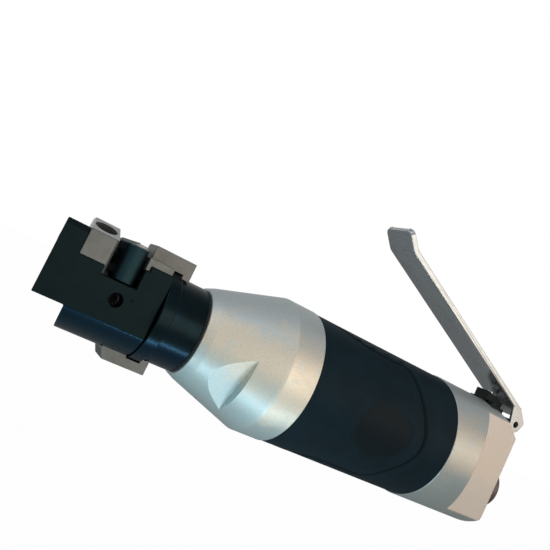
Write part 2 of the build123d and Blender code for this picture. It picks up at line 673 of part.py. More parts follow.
def rear_piston():
    """Rear piston, at rest against the rear housing."""
    return piston(X_REAR_PISTON - PISTON_THICKNESS)


def piston_seals():
    """Rubber ring of each piston."""
    rings = []
    for x_rear in (X_FRONT_PISTON, X_REAR_PISTON):
        seal = seal_span(x_rear - PISTON_THICKNESS / 2)
        rings.append(tube_x(*seal, BARREL_BORE - RUNNING_FIT, BARREL_BORE - SEAL_DEPTH + FIT))
    return Compound(rings)


def piston_spacer():
    """Sleeve on the rod that keeps the pistons apart and runs through the separator."""
    return tube_x(X_FRONT_PISTON, X_SPACER, SPACER_RADIUS, ROD_RADIUS + FIT)


def piston_rod():
    """Rod through both pistons, with a collar in front of them and a tenon in the ram."""
    rod = rod_x(X_RAM_REAR, X_REAR_PISTON + NUT_THICKNESS, ROD_RADIUS)
    rod += rod_x(X_ROD_COLLAR - ROD_COLLAR_THICKNESS, X_ROD_COLLAR, ROD_COLLAR_RADIUS)
    return rod + rod_x(X_RAM_REAR - ROD_TENON_LENGTH, X_RAM_REAR, ROD_TENON_RADIUS)


def piston_nut():
    """Lock nut behind the rear piston."""
    outline = RegularPolygon(NUT_ACROSS / 2, 6, major_radius=False) - Circle(ROD_RADIUS + FIT)
    return extrude(Plane.YZ.offset(X_REAR_PISTON) * outline, NUT_THICKNESS, dir=(1, 0, 0))


def return_spring():
    """Coil spring between the nose's seat and the front piston."""
    start = X_SPRING_SEAT + RETURN_SPRING_WIRE / 2
    length = X_ROD_COLLAR - RETURN_SPRING_WIRE / 2 - REST_GAP - start
    spring = coil(RETURN_SPRING_RADIUS, RETURN_SPRING_WIRE, RETURN_SPRING_TURNS, length)
    return Pos(start, 0, 0) * Rot(0, 90, 0) * spring


def ram():
    """Ram through the neck into the head, with a cross hole for the jaw's stem and a screw hole beside it."""
    solid = rod_x(X_RAM_FRONT, X_RAM_REAR, RAM_RADIUS)
    solid -= rod_x(X_RAM_REAR - ROD_TENON_LENGTH, X_RAM_REAR, ROD_TENON_RADIUS + FIT)
    solid -= rod_z(X_JAW, 0, -JAW_STEM_DEPTH, RAM_RADIUS, JAW_STEM_RADIUS + FIT)
    return solid - rod_y(X_JAW, 0, JAW_SCREW_RADIUS + FIT, -RAM_RADIUS, 0)


def moving_jaw():
    """Jaw that sits astride the ram in the head's slot, with rounded edges and a sloped front top edge."""
    low = SLOT_FLOOR + FREE_GAP
    outline = [
        (X_JAW_FRONT, low),
        (X_JAW_FRONT, JAW_TOP - JAW_FRONT_DROP),
        (X_JAW_FRONT + JAW_FRONT_SLOPE, JAW_TOP),
        (X_JAW_REAR, JAW_TOP),
        (X_JAW_REAR, low),
    ]
    plan = RectangleRounded(JAW_LENGTH, JAW_WIDTH, JAW_CORNER_RADIUS)
    solid = plate(outline, JAW_WIDTH) & Pos(X_JAW, 0, 0) * extrude(plan, JAW_TOP + 1)
    solid -= rod_x(X_JAW_FRONT, X_JAW_REAR, RAM_RADIUS + FIT)
    solid += rod_z(X_JAW, 0, -JAW_STEM_DEPTH, low + RAM_RADIUS / 2, JAW_STEM_RADIUS)
    return solid - rod_x(X_JAW_FRONT, X_JAW_FRONT + PUNCH_SEAT, PUNCH_RADIUS + FIT, z=PUNCH_HEIGHT)


def jaw_screw():
    """Grub screw in the ram, against the jaw's stem."""
    outer = REST_GAP - sqrt(RAM_RADIUS ** 2 - JAW_SCREW_RADIUS ** 2)
    screw = rod_y(X_JAW, 0, JAW_SCREW_RADIUS, outer, -JAW_STEM_RADIUS - FIT)
    return screw - Pos(X_JAW, outer, 0) * Rot(-90, 0, 0) * hex_socket(JAW_SCREW_SOCKET)


def punch_pin():
    """Punch in the jaw, its tip standing out into the throat."""
    return rod_x(X_JAW_FRONT - PUNCH_REACH, X_JAW_FRONT + PUNCH_SEAT - FIT, PUNCH_RADIUS, z=PUNCH_HEIGHT)


def head_frame():
    """One-piece head: a cylinder for the ram, a slot for the jaw and a hooked front block behind the die."""
    half = HEAD_WIDTH / 2
    low = -sqrt(HEAD_RADIUS ** 2 - half ** 2)
    shoulder = HEAD_TOP - HEAD_EDGE
    inner = half - HEAD_EDGE
    section = [
        (-half, low),
        (-half, shoulder),
        (-inner, HEAD_TOP),
        (inner, HEAD_TOP),
        (half, shoulder),
        (half, low),
    ]
    solid = bar(section, X_HEAD_FRONT, X_HEAD_REAR) - in_front_of(X_HEAD_FRONT, FRONT_RAKE, low)
    belly = rod_x(X_HEAD_STEP, X_HEAD_REAR, HEAD_RADIUS) - in_front_of(X_HEAD_STEP, STEP_RAKE, -BODY_RADIUS)
    solid += belly - block(X_HEAD_STEP, X_HEAD_REAR, BODY_DIAMETER, low, BODY_RADIUS)
    over = 2 * HEAD_TOP
    leg = X_SLOT_REAR + STOP_LEG_THICKNESS
    solid -= block(X_DIE_BACK, X_SLOT_FRONT, BODY_DIAMETER, DIE_SEAT, over)
    solid -= block(X_SLOT_FRONT, X_SLOT_REAR, BODY_DIAMETER, SLOT_FLOOR, over)
    solid -= block(X_SLOT_REAR, X_HEAD_REAR, BODY_DIAMETER, HEAD_REAR_TOP, over)
    solid -= block(X_SLOT_REAR, leg, BODY_DIAMETER, HEAD_REAR_TOP - STOP_LEG_DEPTH, over)
    solid -= rod_x(X_RAM_FRONT - STROKE - RAM_OVERRUN, X_HEAD_REAR, RAM_RADIUS + RUNNING_FIT)
    solid -= block(X_HEAD_REAR - BOTTOM_CLAMP_LENGTH, X_HEAD_REAR, BODY_DIAMETER, -over, -BOTTOM_CLAMP_SEAT)
    solid -= rod_y(X_JAW, 0, ACCESS_RADIUS, -HEAD_WIDTH, 0)
    for end in (over, -over):
        solid -= rod_z(X_CLAMP_SCREW, 0, 0, end, CLAMP_SCREW_RADIUS + FIT)
    for y in pair(DIE_SCREW_SPACING):
        solid -= die_screw(y, FIT)
        solid -= rod_x(X_HEAD_FRONT, X_DIE_SCREW, DIE_SCREW_HEAD_RADIUS + FIT, y, DIE_SCREW_HEIGHT)
    return solid


def die_insert():
    """Die: a bar with roof-shaped top, a thin lip down the throat, the die hole and the slug chute."""
    half = HEAD_WIDTH / 2
    roof = half - DIE_SLOPE_WIDTH
    section = [
        (-half, DIE_SEAT),
        (-half, HEAD_TOP),
        (-roof, DIE_TOP),
        (roof, DIE_TOP),
        (half, HEAD_TOP),
        (half, DIE_SEAT),
    ]
    solid = bar(section, X_DIE_BACK, X_DIE_FACE) - in_front_of(X_DIE_BACK, ROOF_RAKE, HEAD_TOP)
    solid += block(X_SLOT_FRONT, X_DIE_FACE, HEAD_WIDTH, SLOT_FLOOR, DIE_SEAT)
    for side in (1, -1):
        corner = Polygon((X_DIE_FACE, side * half), (X_DIE_FACE - DIE_EDGE, side * half),
                         (X_DIE_FACE, side * (half - DIE_EDGE)), align=None)
        solid -= extrude(corner, BODY_RADIUS, dir=(0, 0, 1))
    solid -= rod_x(X_SLOT_FRONT, X_DIE_FACE, RAM_RADIUS + FREE_GAP)
    solid -= rod_x((X_DIE_BACK + X_DIE_FACE) / 2, X_DIE_FACE, PUNCH_RADIUS + HOLE_FIT, z=PUNCH_HEIGHT)
    solid -= slug_chute()
    for y in pair(DIE_SCREW_SPACING):
        solid -= die_screw(y, FIT)
    return solid


def slug_chute():
    """Oval passage from the die hole up and out through one slope of the die's roof; slugs leave edgeways."""
    out_y = (DIE_SLOPE_WIDTH - HEAD_WIDTH) / 2
    out_z = (HEAD_TOP + DIE_TOP) / 2
    middle = (X_DIE_BACK + X_DIE_FACE) / 2
    path = Plane(origin=(middle, 0, PUNCH_HEIGHT), x_dir=(1, 0, 0), z_dir=(0, out_y, out_z - PUNCH_HEIGHT))
    return extrude(path * Ellipse(DIE_CHUTE_LENGTH / 2, DIE_CHUTE_WIDTH / 2), HEAD_WIDTH)


def die_screw(y, gap=0.0):
    """Low-headed cap screw through the head's front wall into the back of the die."""
    end = X_DIE_SCREW + DIE_SCREW_LENGTH + gap
    head = rod_x(X_DIE_SCREW - DIE_SCREW_HEAD, X_DIE_SCREW, DIE_SCREW_HEAD_RADIUS + gap, y, DIE_SCREW_HEIGHT)
    return head + rod_x(X_DIE_SCREW, end, DIE_SCREW_RADIUS + gap, y, DIE_SCREW_HEIGHT)


def die_screws():
    """Two socket screws, sunk in the head's front face."""
    screws = []
    for y in pair(DIE_SCREW_SPACING):
        place = Pos(X_DIE_SCREW - DIE_SCREW_HEAD, y, DIE_SCREW_HEIGHT)
        socket = place * Rot(0, 90, 0) * hex_socket(DIE_SCREW_SOCKET)
        screws.append(die_screw(y) - socket)
    return Compound(screws)


def stop_plate():
    """Bent plate behind the jaw: it lies under the top clamp, and its leg is the jaw's back stop."""
    top = HEAD_REAR_TOP + STOP_PLATE_THICKNESS
    leg = X_SLOT_REAR + STOP_LEG_THICKNESS
    foot = HEAD_REAR_TOP - STOP_LEG_DEPTH
    rear = X_SLOT_REAR + STOP_PLATE_LENGTH
    outline = [
        (X_SLOT_REAR, foot),
        (X_SLOT_REAR, top),
        (rear, top),
        (rear, HEAD_REAR_TOP),
        (leg, HEAD_REAR_TOP),
        (leg, foot),
    ]
    return plate(outline, STOP_PLATE_WIDTH) - rod_z(X_CLAMP_SCREW, 0, 0, BODY_RADIUS, CLAMP_SCREW_RADIUS + FIT)


def clamp(length, seat, thickness, edge):
    """Clamp on top of the head that reaches over the collar and hooks in behind it."""
    front = X_HEAD_REAR - length
    top = seat + thickness
    hook = X_COLLAR_REAR + HOOK_GAP
    outline = [
        (front, seat),
        (front, top - edge),
        (front + edge / 2, top),
        (hook + HOOK_LENGTH, top),
        (hook + HOOK_LENGTH, BODY_RADIUS / 2),
        (front + edge, BODY_RADIUS / 2),
    ]
    solid = plate(outline, CLAMP_WIDTH)
    solid -= block(front, X_HEAD_REAR, BODY_DIAMETER, 0, seat)
    solid -= rod_x(X_HEAD_REAR, hook, COLLAR_RADIUS + FREE_GAP)
    solid -= rod_x(hook, X_NOSE_FRONT, NECK_RADIUS + FREE_GAP)
    return solid - clamp_screw(seat + thickness, FIT)


def clamp_screw(top, gap=0.0):
    """Countersunk screw through a clamp into the head."""
    neck = top - CLAMP_SCREW_HEAD
    shank = rod_z(X_CLAMP_SCREW, 0, RAM_RADIUS + 2 * FREE_GAP, neck, CLAMP_SCREW_RADIUS + gap)
    head = Cone(CLAMP_SCREW_RADIUS + gap, CLAMP_SCREW_HEAD_RADIUS + gap, CLAMP_SCREW_HEAD, align=FROM_START)
    return shank + Pos(X_CLAMP_SCREW, 0, neck) * head


def top_clamp():
    """Upper clamp, on the stop plate."""
    return clamp(TOP_CLAMP_LENGTH, HEAD_REAR_TOP + STOP_PLATE_THICKNESS, TOP_CLAMP_THICKNESS, TOP_CLAMP_EDGE)


def bottom_clamp():
    """Lower clamp, on the flat under the head."""
    lower = clamp(BOTTOM_CLAMP_LENGTH, BOTTOM_CLAMP_SEAT, BOTTOM_CLAMP_THICKNESS, BOTTOM_CLAMP_EDGE)
    return Rot(180, 0, 0) * lower


def clamp_screws():
    """One countersunk socket screw for each clamp."""
    upper = HEAD_REAR_TOP + STOP_PLATE_THICKNESS + TOP_CLAMP_THICKNESS
    lower = BOTTOM_CLAMP_SEAT + BOTTOM_CLAMP_THICKNESS
    screws = []
    for top, turn in ((upper, 0), (lower, 180)):
        socket = Pos(X_CLAMP_SCREW, 0, top - SOCKET_DEPTH) * hex_socket(CLAMP_SCREW_SOCKET)
        screws.append(Rot(turn, 0, 0) * (clamp_screw(top) - socket))
    return Compound(screws)


SUB_PARTS = (
    nose_housing, neck_sleeve, neck_seal, barrel, barrel_seals, grip_sleeve, separator, separator_seals,
    separator_rings, rear_housing, inlet_bushing, inlet_screen, lever_bracket, bracket_screws, lever_pin,
    valve_bushing, valve_bushing_seal, valve_spring, return_spring, lever, throttle_stem, stem_seal,
    piston_rod, piston_nut, front_piston, rear_piston, piston_spacer, piston_seals, ram, moving_jaw, jaw_screw,
    punch_pin, head_frame, die_insert, die_screws, stop_plate, top_clamp, bottom_clamp, clamp_screws,
)

os.makedirs("parts", exist_ok=True)
for sub_part in SUB_PARTS:
    export_step(Pos(0, 0, INLET_DROP) * sub_part(), f"parts/{sub_part.__name__}.step")
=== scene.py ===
from math import atan2, cos, pi, radians, sin, sqrt, tan

import bmesh
import bpy
import numpy as np
from bpy.props import FloatProperty, FloatVectorProperty, PointerProperty
from mathutils import Matrix, Vector


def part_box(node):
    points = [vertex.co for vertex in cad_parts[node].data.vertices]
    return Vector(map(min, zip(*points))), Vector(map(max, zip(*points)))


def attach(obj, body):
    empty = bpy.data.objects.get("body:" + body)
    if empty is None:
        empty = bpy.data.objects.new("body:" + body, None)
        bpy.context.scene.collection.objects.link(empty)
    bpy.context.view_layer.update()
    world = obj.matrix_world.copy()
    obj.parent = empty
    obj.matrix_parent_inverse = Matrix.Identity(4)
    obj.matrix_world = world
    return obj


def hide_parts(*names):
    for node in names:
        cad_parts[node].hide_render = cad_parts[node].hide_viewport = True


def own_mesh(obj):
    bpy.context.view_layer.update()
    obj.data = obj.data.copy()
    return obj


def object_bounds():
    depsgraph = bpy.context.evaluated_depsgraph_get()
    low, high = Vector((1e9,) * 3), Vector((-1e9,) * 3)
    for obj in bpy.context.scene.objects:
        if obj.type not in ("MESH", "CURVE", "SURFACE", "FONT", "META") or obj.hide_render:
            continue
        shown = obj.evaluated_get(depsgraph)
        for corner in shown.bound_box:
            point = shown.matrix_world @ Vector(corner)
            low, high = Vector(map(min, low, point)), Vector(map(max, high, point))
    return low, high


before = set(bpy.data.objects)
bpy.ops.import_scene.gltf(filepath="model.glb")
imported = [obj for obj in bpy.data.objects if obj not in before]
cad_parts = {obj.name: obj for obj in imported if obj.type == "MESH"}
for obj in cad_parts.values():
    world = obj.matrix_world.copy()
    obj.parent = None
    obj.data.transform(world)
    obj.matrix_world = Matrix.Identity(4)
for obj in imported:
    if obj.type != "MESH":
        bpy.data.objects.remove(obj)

bl_info = {
    "name": "Air hole punch",
    "version": (1, 0, 0),
    "blender": (4, 5, 0),
    "location": "View3D > Sidebar > Hole punch",
    "description": "Models and finishes the pieces of a lever-operated air hole punch",
    "category": "Object",
}

MM = 0.001
CAD_BOX = [list(corner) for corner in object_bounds()]
AXIS = sum(corner.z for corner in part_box("barrel")) / 2 / MM

# Places along the tool axis, in millimetres from the air inlet's mouth
GRIP_FRONT, GRIP_REAR = (corner.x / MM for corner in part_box("grip_sleeve"))
HEAD_FRONT, HEAD_REAR = (corner.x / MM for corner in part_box("head_frame"))
JAW_FRONT, JAW_REAR = (corner.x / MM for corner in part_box("moving_jaw"))
DIE_BACK, DIE_FACE = (corner.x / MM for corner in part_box("die_insert"))
BODY_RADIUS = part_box("grip_sleeve")[1].y / MM
REAR_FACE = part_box("rear_housing")[1].x / MM
NOSE_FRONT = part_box("nose_housing")[0].x / MM
COLLAR_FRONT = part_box("neck_sleeve")[0].x / MM
PIVOT_X = sum(corner.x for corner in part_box("lever_pin")) / 2 / MM
PIVOT_Z = sum(corner.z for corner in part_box("lever_pin")) / 2 / MM - AXIS
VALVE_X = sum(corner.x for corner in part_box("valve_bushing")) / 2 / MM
NECK_END = NOSE_FRONT + 14.3
JAW_MIDDLE = (JAW_FRONT + JAW_REAR) / 2
CLAMP_SCREW_X = HEAD_REAR - 3.1
SLOPE_FRONT = REAR_FACE - 8.9

# Heights over the tool axis, half widths, radii and lengths that several pieces share, in millimetres
HEAD_TOP, HEAD_HALF, RAM_BORE = 14.7, 12.5, 6.55
SLOT_FLOOR, DIE_SEAT, DIE_LIP, PUNCH_Z = 4.8, 7.3, 0.8, 11.0
PLATE_SEAT, PLATE_FOOT = 12.4, 10.8
DIE_SCREWS_Y, DIE_SCREW_Z, SCREW_BORE = (-7.5, 7.5), 9.1, 1.52
COLLAR_LENGTH, NECK_SEAT = 4.0, 10.52
SPIGOT_LENGTH, SPIGOT_RADIUS = 8.0, 18.4
HALF_FLATS, LEVER_SEAT = 12.5, 21.0
VALVE_BORE, PIN_RADIUS, FIT = 3.62, 1.0, 0.02

# Fall of the rear housing's sloped corner, and the lever's angle at rest
SLOPE, LEVER_ANGLE = tan(radians(36.9)), radians(23.2)


def length(name, description, default):
    """Size property, written in millimetres."""
    default *= MM
    return FloatProperty(name=name, description=description, default=default, unit="LENGTH", precision=5)


def colour(name, description, *default):
    """Colour property."""
    return FloatVectorProperty(
        name=name, description=description, default=default, subtype="COLOR", min=0, max=1)


class PunchSizes(bpy.types.PropertyGroup):
    """Sizes of the details that the solids leave out."""

    groove_width: length("Groove width", "Width of the line moulded round the grip's pad", 1.1)
    groove_depth: length("Groove depth", "Depth of the line moulded round the grip's pad", 0.55)
    pad_length: length("Pad length", "Length of the oval pad along the grip", 23.5)
    pad_height: length("Pad height", "Height of the oval pad round the grip", 20.0)
    pad_depth: length("Pad depth", "How far the oval pad is sunk into the grip", 0.45)
    rib_height: length("Rib height", "How far the short ribs stand out of the grip", 0.3)
    machined_edge: length("Machined edge", "Width of the eased edges of the head and the housings", 0.3)
    ground_edge: length("Ground edge", "Width of the eased edges of the die, the jaw and the clamps", 0.22)
    lever_edge: length("Lever edge", "Width of the eased edges of the lever", 0.3)
    lever_bend: length("Lever bend", "Radius of the bend at the lever's tip", 3.5)
    lever_corner: length("Lever corner", "Radius of the two corners of the lever's tip", 2.0)
    thread_pitch: length("Thread pitch", "Pitch of the thread in the air inlet", 1.41)
    thread_depth: length("Thread depth", "Depth of the thread in the air inlet", 0.6)


class PunchColours(bpy.types.PropertyGroup):
    """Colours of the finishes."""

    rubber: colour("Rubber", "Moulded rubber of the grip", 0.001, 0.010, 0.0165)
    pad: colour("Pad", "Oval pad of the grip", 0.0018, 0.0065, 0.0097)
    alloy: colour("Alloy", "Blasted alloy of the nose and the rear housing", 0.52, 0.55, 0.56)
    # The warm and cool tints colour the alloy's random clouds and also its painted reflections: the bands
    # round the axis and the glint on the nose
    alloy_warm_tint_and_reflection: colour("Warm tint", "Straw tint of the blasted alloy", 0.64, 0.58, 0.49)
    alloy_cool_tint_and_reflection: colour("Cool tint", "Pale blue tint of the blasted alloy", 0.475, 0.575, 0.595)
    milled: colour("Milled flats", "Bare alloy of the rear housing's flats", 0.60, 0.50, 0.44)
    blued: colour("Blued steel", "Blued steel of the neck and the head", 0.0042, 0.0105, 0.0125)
    # Painted reflection: the bluer colour given to the round underside of the neck and head
    underside_reflection_blue: colour("Oxide blue", "Blue of the round underside of neck and head", 0.005, 0.0185, 0.033)
    ground: colour("Ground steel", "Ground steel of the die and the clamps", 0.148, 0.151, 0.146)
    lever: colour("Lever", "Pressed steel of the lever", 0.48, 0.50, 0.51)
    black: colour("Blackened steel", "Blackened bracket, valve bush, pin and screws", 0.005, 0.009, 0.011)
    jaw: colour("Jaw", "Blued and blackened steel of the jaw", 0.014, 0.030, 0.037)
    bright: colour("Bright steel", "Bare turned steel", 0.50, 0.50, 0.49)
    brass: colour("Brass", "Gauze in the air inlet", 0.56, 0.40, 0.17)
    stub: colour("Inlet stub", "Darkened steel of the air inlet", 0.13, 0.105, 0.10)
    # The floor's tints are painted reflections, which the metal mirrors
    floor_cool: colour("Cool floor", "Floor under the head", 0.70, 0.90, 0.95)
    floor_warm: colour("Warm floor", "Floor by the lever's hinge", 0.52, 0.46, 0.42)
    floor_far: colour("Far floor", "Floor behind the tool", 0.36, 0.37, 0.38)


# Shader maths


class Field:
    """A number, colour or vector in a node tree; arithmetic on fields adds Math nodes."""

    def __init__(self, tree, socket=None):
        self.tree = tree
        self.socket = socket

    def node(self, kind, settings=None, sockets=None, output=0):
        """Add a node from its type, its settings and the values or links of its sockets."""
        made = self.tree.nodes.new(kind)
        for key, value in (settings or {}).items():
            if key == "stops":
                stops = made.color_ramp.elements
                stops.remove(stops[-1])
                stops[0].position, stops[0].color = value[0]
                for place, tint in value[1:]:
                    stops.new(place).color = tint
            else:
                setattr(made, key, value)
        for key, value in (sockets or {}).items():
            if isinstance(value, Field):
                self.tree.links.new(value.socket, made.inputs[key])
            else:
                made.inputs[key].default_value = value
        return Field(self.tree, made.outputs[output] if made.outputs else None)

    def math(self, operation, *values):
        """Math node on these values."""
        return self.node("ShaderNodeMath", {"operation": operation}, dict(enumerate(values)))

    def __add__(self, other):
        return self.math("ADD", self, other)

    def __radd__(self, other):
        return self.math("ADD", other, self)

    def __sub__(self, other):
        return self.math("SUBTRACT", self, other)

    def __rsub__(self, other):
        return self.math("SUBTRACT", other, self)

    def __mul__(self, other):
        return self.math("MULTIPLY", self, other)

    def __rmul__(self, other):
        return self.math("MULTIPLY", other, self)

    def __abs__(self):
        return self.math("ABSOLUTE", self)

    def smooth(self, low, high):
        """0 below low, 1 above high and an even rise between them; low may be the larger."""
        sockets = {"Value": self, "From Min": low, "From Max": high}
        return self.node("ShaderNodeMapRange", {"interpolation_type": "SMOOTHSTEP"}, sockets)

    def blend(self, first, second):
        """Colour between first, where this field is 0, and second, where it is 1."""
        return self.node("ShaderNodeMix", {"data_type": "RGBA"}, {0: self, 6: first, 7: second}, 2)

    def axes(self):
        """The three parts of a vector."""
        apart = self.node("ShaderNodeSeparateXYZ", None, {"Vector": self}).socket.node
        return [Field(self.tree, socket) for socket in apart.outputs]

    def noise(self, scale, detail=2.0, roughness=0.5, stretch=None):
        """Soft noise with this many lumps to a millimetre; stretch is a factor for each axis."""
        where = self
        if stretch:
            where = self.node("ShaderNodeMapping", None, {"Vector": self, "Scale": stretch})
        sockets = {"Vector": where, "Scale": scale, "Detail": detail, "Roughness": roughness}
        return self.node("ShaderNodeTexNoise", None, sockets)


def shade(rgb):
    """Colour with full alpha."""
    return (rgb[0], rgb[1], rgb[2], 1.0)


def scaled(rgb, factor):
    """Lighter or darker colour."""
    return shade([min(1.0, part * factor) for part in rgb])


def new_finish(name, **constants):
    """New material's shader, and the place on the object in millimetres about the tool axis."""
    material = bpy.data.materials.new(name)
    material.use_nodes = True
    shader = material.node_tree.nodes["Principled BSDF"]
    for key, value in constants.items():
        shader.inputs[key.replace("_", " ").title().replace("Ior", "IOR")].default_value = value
    root = Field(material.node_tree)
    where = root.node("ShaderNodeTexCoord", output="Object")
    sockets = {"Vector": where, "Location": (0, 0, -AXIS), "Scale": (1 / MM, 1 / MM, 1 / MM)}
    return shader, root.node("ShaderNodeMapping", None, sockets)


def dress(shader, tone, roughness, height, depth, strength):
    """Link a colour, a roughness and a fine relief of this depth in millimetres to the shader."""
    sockets = {"Height": height, "Distance": depth * MM, "Strength": strength}
    bump = height.node("ShaderNodeBump", None, sockets)
    for name, field in (("Base Color", tone), ("Roughness", roughness), ("Normal", bump)):
        tone.tree.links.new(field.socket, shader.inputs[name])


def rubber_finish(colours):
    """Moulded rubber: fine matt grain, a darker pad, and painted shade and more roughness in the groove."""
    shader, place = new_finish("Grip rubber", Specular_IOR_Level=0.12)
    grain = place.noise(3.2, 3, 0.6)
    mottle = place.noise(0.12, 2)
    pad = place.node("ShaderNodeAttribute", {"attribute_name": "pad"}, output="Fac")
    line = place.node("ShaderNodeAttribute", {"attribute_name": "line"}, output="Fac")
    plain = mottle.smooth(0.3, 0.7).blend(scaled(colours.rubber, 0.85), scaled(colours.rubber, 1.18))
    toned = pad.blend(plain, shade(colours.pad))
    # Painted shade: the moulded groove is darkened
    tone = line.blend(toned, scaled(colours.pad, 0.35))
    dress(shader, tone, 0.52 + grain * 0.16 - pad * 0.06 + line * 0.2, grain, 0.02, 0.35)


def alloy_finish(colours):
    """Blasted and passivated alloy: speckled grain and soft straw and pale blue clouds, with painted
    reflections as straw and pale blue bands round the axis, a painted glint on the nose's rear band, a
    darker rear housing and painted shade on its lower side.
    """
    shader, place = new_finish("Blasted alloy", Metallic=0.72)
    x, y, z = place.axes()
    lean = place.math("ARCTAN2", z, abs(y))
    cloud = place.noise(0.055, 2, 0.55)
    mottle = place.noise(0.24, 3, 0.6)
    grain = place.noise(2.4, 3, 0.65)
    # Painted reflection: the angle round the axis, broken up by noise, lays a straw band along the middle
    # of the sides and a pale blue band on the lower side
    drift = lean + (cloud - 0.5) * 0.9 + (mottle - 0.5) * 0.5
    straw = drift.smooth(-0.55, -0.1) * drift.smooth(0.85, 0.35)
    blue = drift.smooth(-0.2, -0.6) * drift.smooth(-1.5, -1.0)
    tone = straw.blend(shade(colours.alloy), shade(colours.alloy_warm_tint_and_reflection))
    tone = blue.blend(tone, shade(colours.alloy_cool_tint_and_reflection))
    tone = (mottle.smooth(0.50, 0.72) * 0.4).blend(tone, shade(colours.alloy_cool_tint_and_reflection))
    tone = (mottle.smooth(0.46, 0.26) * 0.4).blend(tone, shade(colours.alloy_warm_tint_and_reflection))
    behind = (x - GRIP_REAR).smooth(-28.5, -3.5)
    band = (x - GRIP_FRONT).smooth(-11.5, -9.0) * (1 - behind)
    flat = abs(abs(y) - HALF_FLATS).smooth(0.3, 0.1) * (x - REAR_FACE).smooth(-24.0, -22.0)
    # The rear housing is made darker overall, and painted shade darkens its lower side further
    tone = (behind * 0.35).blend(tone, scaled(colours.alloy, 0.62))
    tone = (behind * drift.smooth(-0.25, -0.8) * 0.22).blend(tone, scaled(colours.alloy, 0.34))
    glint = band * drift.smooth(-0.9, -0.5) * drift.smooth(0.3, -0.1)
    tone = (glint * 0.7).blend(tone, scaled(colours.alloy_warm_tint_and_reflection, 1.4))
    tone = (flat * 0.65).blend(tone, shade(colours.milled))
    tone = (grain.smooth(0.52, 0.74) * 0.38).blend(tone, scaled(colours.alloy, 0.55))
    tone = (grain.smooth(0.46, 0.26) * 0.38).blend(tone, scaled(colours.alloy, 1.4))
    dress(shader, tone, 0.36 + grain * 0.16 + cloud * 0.06, grain, 0.05, 0.5)


def blued_finish(colours, name, roughness, tint, edge):
    """Blued steel: a deep blued colour with faint tool lines, glossier on the round underside, which also
    gets a bluer colour as a painted reflection.
    """
    shader, place = new_finish(name, Metallic=0.9)
    z = place.axes()[2]
    cloud = place.noise(0.16, 3, 0.6)
    lines = place.noise(1.0, 3, 0.6, (7.0, 0.25, 0.25))
    # Below this height the round underside turns glossier and takes the bluer colour of a painted
    # reflection
    underside_blue_and_gloss = z.smooth(*edge)
    tinted = shade([a * b for a, b in zip(colours.blued, tint)])
    deep = cloud.smooth(0.3, 0.72).blend(shade(colours.blued), tinted)
    tone = underside_blue_and_gloss.blend(deep, shade(colours.underside_reflection_blue))
    gloss = underside_blue_and_gloss * (roughness - 0.16)
    dress(shader, tone, roughness + lines * 0.10 + cloud * 0.06 - gloss, lines, 0.012, 0.3)


def ground_finish(colours, name, base, across, smoothness=0.0):
    """Ground steel: straight grinding lines, faint stains and a lighter roof on the die."""
    shader, place = new_finish(name, Metallic=0.82)
    x, _, z = place.axes()
    lines = place.noise(1.0, 4, 0.65, across)
    stain = place.noise(0.22, 3, 0.55)
    tone = lines.smooth(0.25, 0.75).blend(scaled(base, 0.82), scaled(base, 1.14))
    tone = (stain.smooth(0.52, 0.75) * 0.35).blend(tone, scaled(base, 0.62))
    # The die's roof, above the head's top, takes the lighter bright-steel colour
    roof = z.smooth(HEAD_TOP + 0.02, HEAD_TOP + 0.15) * (x - DIE_FACE).smooth(0.5, 0.1)
    tone = roof.blend(tone, scaled(colours.bright, 1.0))
    dress(shader, tone, 0.34 - smoothness + lines * 0.16 + stain * 0.08, lines, 0.012, 0.4)


def black_finish(colours):
    """Blackened steel, a little browner where it has rubbed."""
    shader, place = new_finish("Blackened steel", Metallic=0.5, Specular_IOR_Level=0.25)
    cloud = place.noise(0.4, 3, 0.6)
    grain = place.noise(3.0, 2)
    rubbed = (cloud.smooth(0.58, 0.8) * 0.4).blend(shade(colours.black), scaled(colours.bright, 0.08))
    dress(shader, rubbed, 0.42 + grain * 0.14, grain, 0.012, 0.3)


def jaw_finish(colours):
    """Blackened jaw, lighter along its upper rim."""
    shader, place = new_finish("Blackened jaw", Metallic=0.9, Specular_Tint=(0.12, 0.18, 0.2, 1.0))
    z = place.axes()[2]
    cloud = place.noise(0.5, 3, 0.6)
    # The upper rim, set by height with a noisy edge, turns to a light steel colour
    rim = (z + (cloud - 0.5) * 0.7).smooth(15.55, 16.05)
    dark = cloud.blend(shade(colours.jaw), scaled(colours.jaw, 1.6))
    tone = (rim * 0.9).blend(dark, scaled(colours.ground, 2.2))
    dress(shader, tone, 0.42 + cloud * 0.15, cloud, 0.01, 0.3)


def turned_finish(name, base, metallic=1.0):
    """Turned metal: fine rings left by the tool."""
    shader, place = new_finish(name, Metallic=metallic)
    rings = place.noise(1.0, 3, 0.6, (9.0, 0.15, 0.15))
    stain = place.noise(0.2, 2)
    tone = stain.blend(scaled(base, 0.85), scaled(base, 1.1))
    dress(shader, tone, 0.26 + rings * 0.16, rings, 0.012, 0.4)


def clouded_finish(name, base, tones, lumps, roughness, **constants):
    """Evenly clouded surface between two tones of one colour; roughness is its least and its spread."""
    shader, place = new_finish(name, **constants)
    cloud = place.noise(lumps, 3)
    tone = cloud.blend(scaled(base, tones[0]), scaled(base, tones[1]))
    dress(shader, tone, roughness[0] + cloud * roughness[1], cloud, 0.01, 0.3)


def gauze_finish(colours):
    """Woven wire gauze: crossing wires, with painted shade in the gaps between them."""
    shader, place = new_finish("Inlet gauze", Metallic=0.9)
    _, y, z = place.axes()
    wires = place.math("MAXIMUM", *(place.math("SINE", part * 9.0) for part in (y, z)))
    # Painted shade: the gaps between the wires get a dark colour
    tone = wires.smooth(0.2, 0.6).blend(scaled(colours.black, 0.6), shade(colours.brass))
    dress(shader, tone, 0.4 + wires * 0.1, wires, 0.08, 0.8)


